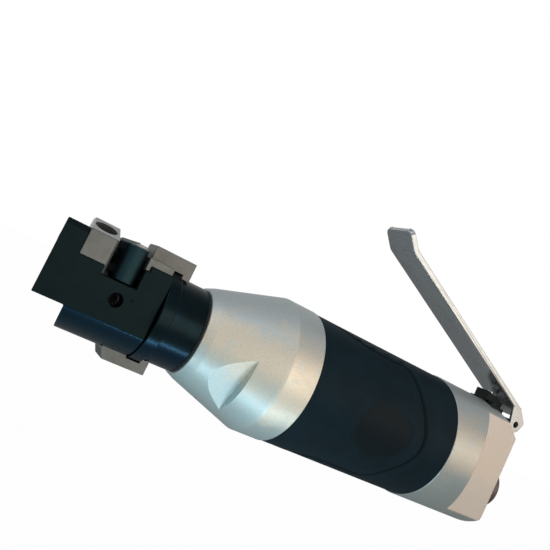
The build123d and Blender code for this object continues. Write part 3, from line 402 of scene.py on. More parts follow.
# Modelling


def at(x, y, z):
    """Point in metres from millimetres about the tool axis."""
    return Vector((x * MM, y * MM, (z + AXIS) * MM))


def slope_height(x):
    """Height of the rear housing's sloped upper corner."""
    return LEVER_SEAT - (x - SLOPE_FRONT) * SLOPE


def activate(obj):
    """Object mode, with this object alone selected."""
    if bpy.context.object is not None and bpy.context.object.mode != "OBJECT":
        bpy.ops.object.mode_set(mode="OBJECT")
    bpy.ops.object.select_all(action="DESELECT")
    if obj is not None:
        obj.select_set(True)
        bpy.context.view_layer.objects.active = obj
    return obj


def settle(name):
    """Name the new primitive and move its place and turn into its mesh."""
    obj = bpy.context.object
    obj.name = name
    bpy.ops.object.transform_apply(location=True, rotation=True, scale=True)
    return obj


def edit_all():
    """Edit mode, with everything selected."""
    bpy.ops.object.mode_set(mode="EDIT")
    bpy.ops.mesh.select_all(action="SELECT")


def all_outward():
    """In edit mode: merge doubled points and turn every face outward."""
    bpy.ops.mesh.select_all(action="SELECT")
    bpy.ops.mesh.remove_doubles(threshold=1e-6)
    bpy.ops.mesh.normals_make_consistent(inside=False)
    bpy.ops.object.mode_set(mode="OBJECT")


def rounded(points, steps=5):
    """Outline in which a corner with a third number becomes an arc of that radius."""
    outline = []
    for i, point in enumerate(points):
        if len(point) < 3:
            outline.append(tuple(point))
            continue
        corner, radius = Vector(point[:2]), point[2]
        before = (Vector(points[i - 1][:2]) - corner).normalized()
        after = (Vector(points[(i + 1) % len(points)][:2]) - corner).normalized()
        half = before.angle(after) / 2
        centre = corner + (before + after).normalized() * radius / sin(half)
        first = corner + before * radius / tan(half) - centre
        last = corner + after * radius / tan(half) - centre
        begin = atan2(first.y, first.x)
        sweep = (atan2(last.y, last.x) - begin + pi) % (2 * pi) - pi
        for k in range(steps + 1):
            turn = begin + sweep * k / steps
            outline.append((centre.x + radius * cos(turn), centre.y + radius * sin(turn)))
    return outline


def lathe(name, outline, sides=176, height=0.0, ring=True):
    """Outline of (x, radius) points round a line along X: a circle, extruded and resized on the way."""
    activate(None)
    x, radius = outline[0]
    bpy.ops.mesh.primitive_circle_add(
        vertices=sides, radius=radius * MM, fill_type="NOTHING" if ring else "NGON",
        location=at(x, 0, height), rotation=(0, pi / 2, 0))
    obj = settle(name)
    edit_all()
    for next_x, next_radius in outline[1:] + (outline[:1] if ring else []):
        bpy.ops.mesh.extrude_region_move(TRANSFORM_OT_translate={"value": ((next_x - x) * MM, 0, 0)})
        ratio = next_radius / radius
        bpy.ops.transform.resize(value=(1, ratio, ratio), center_override=at(next_x, 0, height))
        x, radius = next_x, next_radius
    all_outward()
    return obj


def prism(name, outline, low, high, along="Y", stops=()):
    """Flat outline, filled and extruded along one axis, with a ring of points at each stop on the way."""
    activate(None)
    bpy.ops.mesh.primitive_circle_add(vertices=len(outline), radius=MM, fill_type="NGON")
    obj = settle(name)
    order = {"X": (2, 0, 1), "Y": (0, 2, 1), "Z": (0, 1, 2)}[along]
    for vertex, (a, b) in zip(obj.data.vertices, outline):
        parts = (a, b, low)
        vertex.co = at(*(parts[i] for i in order))
    edit_all()
    for stop in (*stops, high):
        step = [(stop - low) * MM if axis == along else 0.0 for axis in "XYZ"]
        bpy.ops.mesh.extrude_region_move(TRANSFORM_OT_translate={"value": step})
        low = stop
    all_outward()
    return obj


def slab(name, x0, x1, half_width, z0, z1):
    """Rectangular cutter or block, centred on the middle plane."""
    return prism(name, [(x0, z0), (x1, z0), (x1, z1), (x0, z1)], -half_width, half_width)


def raked(name, x, degrees, low, high):
    """Cutter in front of an upright plane that starts at x on the head's -Y side and leans back with Y."""
    lean = tan(radians(degrees))
    past, clear = 3.0, x - 30
    reach = HEAD_HALF + past
    near, far = x - past * lean, x + (HEAD_HALF + reach) * lean
    return prism(name, [(near, -reach), (far, reach), (clear, reach), (clear, -reach)], low, high, "Z")


def drum(name, along, place, low, high, radius, sides=48):
    """Round cutter or pin along one axis; place is where it lies on the other two."""
    activate(None)
    i = "XYZ".index(along)
    first, last = (at(*place[:i], end, *place[i:]) for end in (low, high))
    turn = (last - first).to_track_quat("Z", "Y").to_euler()
    bpy.ops.mesh.primitive_cylinder_add(
        vertices=sides, radius=radius * MM, depth=(last - first).length,
        location=(first + last) / 2, rotation=turn)
    return settle(name)


def modify(obj, kind, **settings):
    """Apply a modifier with these settings."""
    activate(obj)
    bpy.ops.object.modifier_add(type=kind)
    modifier = obj.modifiers[-1]
    for key, value in settings.items():
        setattr(modifier, key, value)
    bpy.ops.object.modifier_apply(modifier=modifier.name)


def combine(obj, operation, *others):
    """Boolean modifiers with these objects, which are used up."""
    for other in others:
        modify(obj, "BOOLEAN", operation=operation, solver="EXACT", object=other)
        activate(other)
        bpy.ops.object.delete()
    return activate(obj)


def cut(obj, *cutters):
    """Cut these shapes out of the piece."""
    return combine(obj, "DIFFERENCE", *cutters)


def add(obj, *others):
    """Make one solid of these shapes."""
    return combine(obj, "UNION", *others)


def ease(obj, width, angle=30, segments=3):
    """Round every edge sharper than an angle."""
    modify(
        obj, "BEVEL", width=width, segments=segments, limit_method="ANGLE", angle_limit=radians(angle),
        use_clamp_overlap=False)


def pick_edges(obj, test):
    """In edit mode: select the edges whose two ends, in millimetres about the tool axis, pass a test."""
    activate(obj)
    bpy.ops.object.mode_set(mode="EDIT")
    bpy.ops.mesh.select_mode(type="EDGE")
    bpy.ops.mesh.select_all(action="DESELECT")
    mesh = bmesh.from_edit_mesh(obj.data)
    for edge in mesh.edges:
        ends = [vertex.co / MM - Vector((0, 0, AXIS)) for vertex in edge.verts]
        edge.select_set(test(*ends))
    bmesh.update_edit_mesh(obj.data)


def move_mesh(obj, matrix):
    """Turn or move a piece in its mesh; the matrix works in millimetres about the tool axis."""
    scale = Matrix.Diagonal((MM, MM, MM, 1))
    lift = Matrix.Translation((0, 0, AXIS))
    obj.data.transform(scale @ lift @ matrix @ lift.inverted() @ scale.inverted())
    return obj


def join(obj, *others):
    """One object of several shapes that only touch."""
    activate(obj)
    for other in others:
        other.select_set(True)
    bpy.ops.object.join()
    return obj


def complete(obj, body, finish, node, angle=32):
    """Shade the piece, give it its finish and set it on its body in place of its solid."""
    activate(obj)
    edit_all()
    bpy.ops.mesh.normals_make_consistent(inside=False)
    bpy.ops.object.mode_set(mode="OBJECT")
    bpy.ops.object.shade_smooth_by_angle(angle=radians(angle))
    modify(obj, "WEIGHTED_NORMAL", keep_sharp=True)
    obj.data.materials.clear()
    obj.data.materials.append(bpy.data.materials[finish])
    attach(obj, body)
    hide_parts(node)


# Pieces


class PUNCH_OT_finishes(bpy.types.Operator):
    """Make the finishes and give them to the solids that stay as they are"""

    bl_idname = "punch.finishes"
    bl_label = "Finishes"

    KEPT = {
        "Blackened steel": (
            "bracket_screws", "die_screws", "clamp_screws", "jaw_screw", "punch_pin", "valve_bushing"),
        "Turned steel": (
            "barrel", "separator_rings", "throttle_stem", "piston_rod", "piston_nut", "piston_spacer"),
        "Turned alloy": ("separator", "front_piston", "rear_piston"),
        "Inlet gauze": ("inlet_screen",),
        "Spring wire": ("ram",),
    }

    def execute(self, context):
        colours = context.scene.punch_colours
        rubber_finish(colours)
        alloy_finish(colours)
        blued_finish(colours, "Blued neck", 0.20, (1.1, 1.5, 1.9), (-4.9, -5.8))
        blued_finish(colours, "Blued head", 0.36, (1.2, 1.2, 1.1), (-6.2, -7.0))
        ground_finish(colours, "Ground steel", colours.ground, (0.3, 5.0, 0.3))
        ground_finish(colours, "Pressed lever", colours.lever, (0.12, 4.0, 4.0), 0.24)
        black_finish(colours)
        jaw_finish(colours)
        turned_finish("Turned steel", colours.bright)
        turned_finish("Inlet stub", colours.stub, 0.7)
        turned_finish("Turned alloy", scaled(colours.alloy, 1.1))
        clouded_finish("Seal rubber", colours.pad, (0.4, 0.9), 1.6, (0.55, 0.15), Specular_IOR_Level=0.35)
        gauze_finish(colours)
        clouded_finish("Spring wire", colours.bright, (0.35, 0.6), 0.8, (0.28, 0.12), Metallic=0.95)
        for finish, nodes in self.KEPT.items():
            for node in nodes:
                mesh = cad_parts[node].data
                mesh.materials.clear()
                mesh.materials.append(bpy.data.materials[finish])
        return {"FINISHED"}


class PUNCH_OT_grip(bpy.types.Operator):
    """Moulded rubber grip with an oval pad on either side and a line round it"""

    bl_idname = "punch.grip"
    bl_label = "Rubber grip"

    WALL, EDGE = 1.96, 0.5
    # How far the outer wall lies below the solid's, so that the ribs stay inside it
    SINK = 0.32
    PAD_MIDDLE, PAD_LEAN = GRIP_REAR - 28.1, radians(-7.0)
    RIBS, FIRST_RIB, RIB_STEP, RIB_LEAN = 4, GRIP_REAR - 42.5, 6.4, radians(69.0)
    # Bends of the moulded line: millimetres from the grip's rear end and degrees round the axis
    BENDS = (
        (-58.8, 88), (-51, 78), (-44.5, 68.5), (-39, 63), (-30.5, 61.5), (-23, 61.5), (-20.5, 56),
        (-17.6, 36), (-13.9, 14), (-12.1, 0), (-12.1, -12), (-13.9, -24), (-17, -38), (-21, -58),
        (-25, -61.5), (-39, -63), (-44.5, -68.5), (-51, -78), (-58.8, -88),
    )

    def execute(self, context):
        sizes = context.scene.punch_sizes
        inner = BODY_RADIUS - self.WALL
        grip = lathe("rubber_grip", rounded([
            (GRIP_FRONT, inner), (GRIP_FRONT, BODY_RADIUS, self.EDGE),
            (GRIP_REAR, BODY_RADIUS, self.EDGE), (GRIP_REAR, inner),
        ], 4), 312)
        pick_edges(grip, self.on_outer_wall)
        bpy.ops.mesh.subdivide(number_cuts=150)
        bpy.ops.object.mode_set(mode="OBJECT")
        self.mould(grip.data, sizes)
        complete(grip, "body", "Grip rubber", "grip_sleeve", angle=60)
        return {"FINISHED"}

    def on_outer_wall(self, a, b):
        """Whether an edge runs along the outer wall from end to end."""
        low = min(sqrt(end.y ** 2 + end.z ** 2) for end in (a, b))
        return low > BODY_RADIUS - self.EDGE / 10 and abs(a.x - b.x) > 10

    def mould(self, mesh, sizes):
        """Sink the pad and the line into the outer wall and raise the ribs, on both sides alike."""
        points = np.empty(len(mesh.vertices) * 3)
        mesh.vertices.foreach_get("co", points)
        points = points.reshape(-1, 3) / MM - (0, 0, AXIS)
        x = points[:, 0]
        radius = np.hypot(points[:, 1], points[:, 2])
        lean = np.arctan2(points[:, 2], np.abs(points[:, 1]))
        outer = np.clip((radius - BODY_RADIUS + 0.3) / 0.3, 0, 1)
        away = self.line_distance(x, lean)
        width = sizes.groove_width / MM / 2
        line = np.exp(-(away / width) ** 2)
        lip = np.exp(-((away - 2.2 * width) / width) ** 2)
        across = (x - self.PAD_MIDDLE) / (sizes.pad_length / MM / 2)
        upward = (lean - self.PAD_LEAN) * BODY_RADIUS / (sizes.pad_height / MM / 2)
        oval = np.hypot(across, upward)
        pad = np.clip((1.0 - oval) / 0.14, 0, 1)
        pad = pad * pad * (3 - 2 * pad)
        crown = np.clip(1 - oval ** 2, 0, 1)
        ribs = np.zeros_like(x)
        half_length, half_width, along, slant = 1.9, 0.75, 0.9, 0.44
        for side in (1, -1):
            for k in range(self.RIBS):
                u = x - (self.FIRST_RIB + self.RIB_STEP * k)
                v = (lean - side * self.RIB_LEAN) * BODY_RADIUS
                a = (u * along + v * side * slant) / half_length
                b = (v * along - u * side * slant) / half_width
                ribs += np.exp(-(a ** 4 + b ** 4))
        lip_rise, crown_rise = 0.06, 0.22
        depth = lip_rise * lip - sizes.groove_depth / MM * line
        depth += sizes.rib_height / MM * np.clip(ribs, 0, 1) - self.SINK
        depth -= pad * (sizes.pad_depth / MM - crown_rise * crown)
        grow = 1 + outer * depth / np.maximum(radius, 1)
        points[:, 1:] *= grow[:, None]
        mesh.vertices.foreach_set("co", ((points + (0, 0, AXIS)) * MM).ravel())
        for name, values in (("pad", pad * outer), ("line", line * outer)):
            mesh.attributes.new(name, "FLOAT", "POINT").data.foreach_set("value", values.astype(np.float32))
        mesh.update()

    def line_distance(self, x, lean):
        """Distance over the surface from the middle of the moulded line."""
        spots = [np.array((GRIP_REAR + a, radians(b) * BODY_RADIUS)) for a, b in self.BENDS]
        curve = []
        for i in range(len(spots) - 1):
            before, after = spots[max(i - 1, 0)], spots[min(i + 2, len(spots) - 1)]
            a, b = spots[i], spots[i + 1]
            for t in np.linspace(0, 1, 6, endpoint=False):
                curve.append(0.5 * (2 * a + (b - before) * t + (2 * before - 5 * a + 4 * b - after) * t ** 2
                                    + (3 * a - before - 3 * b + after) * t ** 3))
        curve.append(spots[-1])
        nearest = np.full_like(x, 99.0)
        here = np.stack((x, lean * BODY_RADIUS), 1)
        for a, b in zip(curve, curve[1:]):
            run = b - a
            t = np.clip(((here - a) @ run) / (run @ run), 0, 1)
            nearest = np.minimum(nearest, np.hypot(*(here - a - t[:, None] * run).T))
        return nearest


class PUNCH_OT_nose(bpy.types.Operator):
    """Turned nose with its cone, two wrench flats and the spigot in the barrel"""

    bl_idname = "punch.nose"
    bl_label = "Nose housing"

    def execute(self, context):
        cavity, ram_way, flat_height = 12.5, 6.6, 16.5
        floor, end = NECK_END + 3.0, GRIP_FRONT + SPIGOT_LENGTH
        nose = lathe("nose_shell", rounded([
            (NOSE_FRONT, NECK_SEAT), (NOSE_FRONT, 14.0, 0.35), (NOSE_FRONT + 2.8, 15.2, 1.0),
            (GRIP_FRONT - 10.0, BODY_RADIUS, 1.5), (GRIP_FRONT, BODY_RADIUS, 0.3),
            (GRIP_FRONT, SPIGOT_RADIUS), (end, SPIGOT_RADIUS, 0.4), (end, cavity), (floor, cavity),
            (floor, ram_way), (NECK_END, ram_way), (NECK_END, NECK_SEAT),
        ], 6))
        for turn in (118, -62):
            flat = slab("flat", NOSE_FRONT - 1, GRIP_FRONT - 19.4, 30, flat_height, 40)
            cut(nose, move_mesh(flat, Matrix.Rotation(radians(turn), 4, "X")))
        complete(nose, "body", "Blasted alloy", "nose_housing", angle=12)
        return {"FINISHED"}


class PUNCH_OT_neck(bpy.types.Operator):
    """Blued neck with the collar that carries the head, and the dust ring behind it"""

    bl_idname = "punch.neck"
    bl_label = "Neck and dust ring"

    def execute(self, context):
        collar, shank = 14.6, 13.4
        collar_rear = COLLAR_FRONT + COLLAR_LENGTH
        ring_front = NOSE_FRONT - 0.8
        spigot = NECK_SEAT - FIT
        neck = lathe("neck", rounded([
            (COLLAR_FRONT, RAM_BORE, 0.2), (COLLAR_FRONT, collar, 0.4), (collar_rear, collar, 0.3),
            (collar_rear, shank, 0.2), (ring_front, shank, 0.25), (ring_front, spigot),
            (NECK_END, spigot, 0.3), (NECK_END, RAM_BORE),
        ], 4))
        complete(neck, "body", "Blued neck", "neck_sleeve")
        ring = lathe("dust_ring", rounded([
            (ring_front, NECK_SEAT, 0.2), (ring_front, shank, 0.3),
            (NOSE_FRONT, shank, 0.3), (NOSE_FRONT, NECK_SEAT, 0.2),
        ], 3))
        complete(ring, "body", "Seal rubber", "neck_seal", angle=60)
        return {"FINISHED"}


class PUNCH_OT_rear(bpy.types.Operator):
    """Rear housing with side flats and a sloped upper corner, and the threaded air inlet"""

    bl_idname = "punch.rear"
    bl_label = "Rear housing and air inlet"

    STUB_SPIGOT = 7.5

    def execute(self, context):
        sizes = context.scene.punch_sizes
        spigot_bore, passage = 9.0, 4.0
        flat_length, flat_lead = 23.2, radians(60)
        spigot_end = GRIP_REAR - SPIGOT_LENGTH
        rear = lathe("rear_shell", rounded([
            (GRIP_REAR - 1.6, spigot_bore), (spigot_end, spigot_bore), (spigot_end, SPIGOT_RADIUS, 0.4),
            (GRIP_REAR, SPIGOT_RADIUS), (GRIP_REAR, BODY_RADIUS, 0.3),
            (REAR_FACE, BODY_RADIUS, 2.0), (REAR_FACE, 8.0),
        ], 8), ring=False)
        start = REAR_FACE - flat_length
        end = start + (BODY_RADIUS - HALF_FLATS) / tan(flat_lead)
        for side in (1, -1):
            near, far = side * HALF_FLATS, side * 40
            flat = [(start, side * BODY_RADIUS), (end, near), (1, near), (1, far), (start, far)]
            cut(rear, prism("flat", flat, -40, 40, "Z"))
        cut(rear, slab("seat", REAR_FACE - 13.0, 1, 40, LEVER_SEAT, 40))
        over = SLOPE_FRONT + (LEVER_SEAT - 40) / SLOPE
        cut(rear, prism("slope", [(1, slope_height(1)), (1, 40), (over, 40)], -40, 40))
        ease(rear, sizes.machined_edge, 18)
        cut(
            rear,
            drum("inlet bore", "X", (0, -AXIS), REAR_FACE - 7.3, 2, self.STUB_SPIGOT + FIT, 64),
            drum("inlet passage", "X", (0, -AXIS), REAR_FACE - 12.3, REAR_FACE - 7, passage),
            drum("valve bore", "Z", (VALVE_X, 0), 1.5, 30, VALVE_BORE),
        )
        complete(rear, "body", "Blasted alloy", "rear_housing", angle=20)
        self.inlet(sizes)
        return {"FINISHED"}

    def inlet(self, sizes):
        """Inlet stub with a thread in its bore."""
        outer, bore = 8.5, 5.65
        inner, mouth = REAR_FACE - 6.5, -0.6
        outline = rounded([
            (inner, self.STUB_SPIGOT), (REAR_FACE, self.STUB_SPIGOT), (REAR_FACE, outer),
            (0.0, outer, 2.0), (0.0, 6.2, 0.15), (mouth, bore),
        ], 8)
        pitch = sizes.thread_pitch / MM
        root = bore + sizes.thread_depth / MM
        x = mouth
        while x - pitch > inner:
            thread = ((0.45, root), (0.55, root), (0.95, bore), (1.0, bore))
            outline += [(x - pitch * share, radius) for share, radius in thread]
            x -= pitch
        outline.append((inner, bore))
        stub = lathe("inlet_stub", outline, 96, -AXIS)
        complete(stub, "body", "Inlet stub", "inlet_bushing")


class PUNCH_OT_head(bpy.types.Operator):
    """Blued head: a round lower half, a slot for the jaw and a hooked front block"""

    bl_idname = "punch.head"
    bl_label = "Head"

    def execute(self, context):
        sizes = context.scene.punch_sizes
        belly = 14.2
        front_rake, under_rake, under_front = 9.0, 11.5, HEAD_REAR - 24.1
        low = -sqrt(belly ** 2 - HEAD_HALF ** 2)
        turn = atan2(low, HEAD_HALF)
        turns = [turn - (pi + 2 * turn) * k / 56 for k in range(57)]
        flat, edge = HEAD_HALF - 1.5, HEAD_TOP - 1.5
        section = [(-HEAD_HALF, edge), (-flat, HEAD_TOP), (flat, HEAD_TOP), (HEAD_HALF, edge)]
        section += [(belly * cos(a), belly * sin(a)) for a in turns]
        head = prism("head_block", section, HEAD_FRONT, HEAD_REAR, "X")
        cut(
            head,
            raked("front", HEAD_FRONT, front_rake, -30, 30),
            raked("under front", under_front, under_rake, -30, low + 0.02),
            slab("die seat", DIE_BACK, DIE_FACE, 30, DIE_SEAT, 30),
            slab("jaw slot", DIE_FACE - DIE_LIP, JAW_REAR + 0.6, 30, SLOT_FLOOR, 30),
            slab("plate seat", JAW_REAR, HEAD_REAR + 1, 30, PLATE_SEAT, 30),
            slab("plate notch", JAW_REAR, JAW_REAR + 1.9, 30, PLATE_FOOT, 30),
            slab("clamp seat", HEAD_REAR - 7.8, HEAD_REAR + 1, 30, -30, -13.4),
        )
        ease(head, sizes.machined_edge, 24)
        dowel_x = HEAD_REAR - 8.3
        cut(
            head,
            drum("ram bore", "X", (0, 0), DIE_FACE - 2.4, HEAD_REAR + 2, RAM_BORE, 96),
            drum("access", "Y", (JAW_MIDDLE, 0), -20, 0, 2.1),
            drum("top screw", "Z", (CLAMP_SCREW_X, 0), 5, 20, SCREW_BORE),
            drum("bottom screw", "Z", (CLAMP_SCREW_X, 0), -20, -5, SCREW_BORE),
            drum("dowel", "Y", (dowel_x, 1.5), -20, -12.2, 0.45, 24),
        )
        for y in DIE_SCREWS_Y:
            cut(
                head,
                drum("screw head", "X", (y, DIE_SCREW_Z), HEAD_FRONT - 2, DIE_BACK - 2.3, 2.77),
                drum("screw shank", "X", (y, DIE_SCREW_Z), DIE_BACK - 3, DIE_BACK + 1, SCREW_BORE),
            )
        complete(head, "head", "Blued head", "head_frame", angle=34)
        return {"FINISHED"}


class PUNCH_OT_die(bpy.types.Operator):
    """Ground die with a roof-shaped top, a lip down the throat and the slug chute"""

    bl_idname = "punch.die"
    bl_label = "Die"

    RIDGE, RIDGE_HALF = 18.0, 6.0

    def execute(self, context):
        sizes = context.scene.punch_sizes
        die = prism("die", [
            (-HEAD_HALF, DIE_SEAT), (-HEAD_HALF, HEAD_TOP), (-self.RIDGE_HALF, self.RIDGE),
            (self.RIDGE_HALF, self.RIDGE), (HEAD_HALF, HEAD_TOP), (HEAD_HALF, DIE_SEAT),
        ], DIE_BACK, DIE_FACE, "X")
        lip = DIE_FACE - DIE_LIP
        add(die, slab("lip", lip, DIE_FACE, HEAD_HALF, SLOT_FLOOR, 9.0))
        past = HEAD_HALF + 0.1
        for side in (1, -1):
            corner = [
                (DIE_FACE + 0.01, side * past), (lip, side * past), (lip, side * HEAD_HALF),
                (DIE_FACE + 0.01, side * (HEAD_HALF - DIE_LIP))]
            cut(die, prism("corner", corner, -5, 30, "Z"))
        roof_rake = 8.0
        cut(die, raked("roof front", DIE_BACK, roof_rake, HEAD_TOP, 30))
        ease(die, sizes.ground_edge, 18)
        middle = (DIE_BACK + DIE_FACE) / 2
        cut(
            die,
            drum("ram way", "X", (0, 0), DIE_FACE - 2, DIE_FACE + 1, 6.8, 96),
            drum("die hole", "X", (0, PUNCH_Z), middle, DIE_FACE + 1, 2.6),
            self.chute(middle),
        )
        for y in DIE_SCREWS_Y:
            cut(die, drum("shank", "X", (y, DIE_SCREW_Z), DIE_BACK - 1, DIE_BACK + 3.42, SCREW_BORE))
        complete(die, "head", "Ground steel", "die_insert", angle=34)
        return {"FINISHED"}

    def chute(self, middle):
        """Oval cutter from the die hole up through the middle of the near slope."""
        half_length, half_width = 3.3, 1.85
        turns = [pi * k / 32 for k in range(64)]
        oval = [(half_length * cos(a), half_width * sin(a)) for a in turns]
        lean = atan2((self.RIDGE_HALF + HEAD_HALF) / 2, (self.RIDGE + HEAD_TOP) / 2 - PUNCH_Z)
        cutter = prism("chute", oval, 0, 25, "Z")
        return move_mesh(cutter, Matrix.Translation((middle, 0, PUNCH_Z)) @ Matrix.Rotation(lean, 4, "X"))


class PUNCH_OT_jaw(bpy.types.Operator):
    """Moving jaw with rounded edges, astride the ram"""

    bl_idname = "punch.jaw"
    bl_label = "Moving jaw"

    def execute(self, context):
        sizes = context.scene.punch_sizes
        half, corner = 11.8, 2.8
        low, top, slope_length = 5.1, 16.6, 2.5
        ends = ((JAW_FRONT, -1), (JAW_REAR, -1), (JAW_REAR, 1), (JAW_FRONT, 1))
        plan = rounded([(x, side * half, corner) for x, side in ends], 8)
        jaw = prism("jaw", plan, low, top, "Z")
        behind = JAW_FRONT + slope_length
        slope = [(JAW_FRONT - 1, 14.92), (behind, top), (behind, 20), (JAW_FRONT - 1, 20)]
        cut(jaw, prism("front slope", slope, -20, 20))
        ease(jaw, sizes.ground_edge, 20)
        cut(
            jaw,
            drum("ram way", "X", (0, 0), JAW_FRONT - 1, JAW_REAR + 1, 6.52, 96),
            drum("punch seat", "X", (0, PUNCH_Z), JAW_FRONT - 1, JAW_FRONT + 4.0, 2.52),
        )
        stem = drum("stem", "Z", (JAW_MIDDLE, 0), -4.5, 8.3, 3.0)
        ease(stem, sizes.ground_edge, 40, 2)
        join(jaw, stem)
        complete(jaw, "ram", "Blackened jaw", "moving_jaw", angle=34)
        return {"FINISHED"}


class PUNCH_OT_clamps(bpy.types.Operator):
    """Stop plate and the two clamps that hook in behind the collar"""

    bl_idname = "punch.clamps"
    bl_label = "Stop plate and clamps"

    def execute(self, context):
        sizes = context.scene.punch_sizes
        plate_top, plate_half, plate_length, leg_wall = 14.6, 11.5, 7.8, 1.3
        front = JAW_REAR + 0.6
        rear, leg = front + plate_length, front + leg_wall
        plate = prism("stop_plate_piece", [
            (front, PLATE_FOOT), (front, plate_top), (rear, plate_top), (rear, PLATE_SEAT),
            (leg, PLATE_SEAT), (leg, PLATE_FOOT),
        ], -plate_half, plate_half)
        ease(plate, sizes.ground_edge, 50)
        cut(plate, drum("screw hole", "Z", (CLAMP_SCREW_X, 0), 8, 20, SCREW_BORE))
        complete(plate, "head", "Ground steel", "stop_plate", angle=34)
        upper = self.clamp(sizes, "top_clamp_piece", 6.3, plate_top, 4.1, 0.6)
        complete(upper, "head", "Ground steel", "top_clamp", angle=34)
        lower = self.clamp(sizes, "bottom_clamp_piece", 7.8, 13.4, 3.7, 2.6)
        move_mesh(lower, Matrix.Rotation(pi, 4, "X"))
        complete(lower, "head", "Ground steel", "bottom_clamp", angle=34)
        return {"FINISHED"}

    def clamp(self, sizes, name, reach, seat, thickness, edge):
        """Block on the head that reaches over the collar and hooks in behind it."""
        half, hook_length, hook_low = 4.5, 2.65, 11.25
        collar_way, neck_way = 14.9, 13.7
        front, back = HEAD_REAR - reach, HEAD_REAR + 0.05
        top = seat + thickness
        hook = COLLAR_FRONT + COLLAR_LENGTH + 0.15
        end = hook + hook_length
        block = prism(name, [
            (front, seat), (front, top - edge), (front + edge / 2, top), (end, top),
            (end, hook_low), (back, hook_low), (back, seat),
        ], -half, half)
        cut(
            block,
            drum("collar way", "X", (0, 0), HEAD_REAR, hook, collar_way, 176),
            drum("neck way", "X", (0, 0), hook - 0.1, hook + 9, neck_way, 176),
        )
        ease(block, sizes.ground_edge, 25)
        activate(None)
        bpy.ops.mesh.primitive_cone_add(
            vertices=48, radius1=SCREW_BORE * MM, radius2=3.145 * MM, depth=2.0 * MM,
            location=at(CLAMP_SCREW_X, 0, top - 0.6))
        sink = settle("countersink")
        return cut(block, sink, drum("shank", "Z", (CLAMP_SCREW_X, 0), seat - 2, top, SCREW_BORE))


class PUNCH_OT_lever(bpy.types.Operator):
    """Flat lever with a raised tip and two hinge ears"""

    bl_idname = "punch.lever"
    bl_label = "Lever"

    # The lever is drawn level, along -X from its pivot
    TOP, UNDER, HALF = 5.6, 3.6, 7.3
    KNEE, TIP_ANGLE, TIP_LENGTH = -82.8, radians(24.2), 7.4

    def execute(self, context):
        sizes = context.scene.punch_sizes
        ear_front, ear_wall, ear_radius, ear_turn = -7.34, 1.2, 3.0, 2.412
        radius = sizes.lever_bend / MM
        start = self.KNEE + radius * tan(self.TIP_ANGLE / 2)
        arc = radius * self.TIP_ANGLE
        tip = start - arc - self.TIP_LENGTH + radius * tan(self.TIP_ANGLE / 2)
        half, top, under = self.HALF, self.TOP, self.UNDER
        section = [(-half, under), (-half, top), (half, top), (half, under)]
        lever = prism("lever_arm", section, -3.0, tip, "X", [start - arc * k / 8 for k in range(9)])
        for side in (1, -1):
            cut(lever, prism("tip corner", self.corner(tip, side, sizes.lever_corner / MM), 0, 9, "Z"))
        self.bend_tip(lever.data, start, radius)
        turns = [-ear_turn * k / 12 for k in range(13)]
        foot = [(ear_radius * cos(a), ear_radius * sin(a)) for a in turns]
        side = rounded([(ear_front, top), (-3.0, top, 1.5), (3.0, 3.0, 1.0), *foot, (ear_front, 4.4)])
        ears = prism("ears", side, -half, half)
        cut(ears, slab("ear gap", -20, 20, half - ear_wall, -9, under))
        cut(ears, drum("pin hole", "Y", (0, 0), -20, 20, PIN_RADIUS + 0.05))
        add(lever, ears)
        ease(lever, sizes.lever_edge, 40, 3)
        move_mesh(lever, Matrix.Translation((PIVOT_X, 0, PIVOT_Z)) @ Matrix.Rotation(LEVER_ANGLE, 4, "Y"))
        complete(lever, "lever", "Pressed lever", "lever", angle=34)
        return {"FINISHED"}

    def corner(self, tip, side, radius):
        """Cutter that rounds one corner of the tip, seen from above."""
        past = 0.5
        edge = side * self.HALF
        arc = [pi / 2 * k / 8 for k in range(9)]
        return [(tip - past, edge + side * past), (tip + radius, edge + side * past)] + [
            (tip + radius * (1 - sin(a)), edge - side * radius * (1 - cos(a))) for a in arc
        ] + [(tip - past, edge - side * radius)]

    def bend_tip(self, mesh, start, radius):
        """Turn the end of the straight strip up round a line across it."""
        centre = self.TOP + radius
        for vertex in mesh.vertices:
            x, z = vertex.co.x / MM, vertex.co.z / MM - AXIS
            past = start - x
            if past > 0:
                turn = min(past / radius, self.TIP_ANGLE)
                rest = past - turn * radius
                x = start - (centre - z) * sin(turn) - rest * cos(turn)
                z = centre - (centre - z) * cos(turn) + rest * sin(turn)
                vertex.co.x, vertex.co.z = x * MM, (z + AXIS) * MM


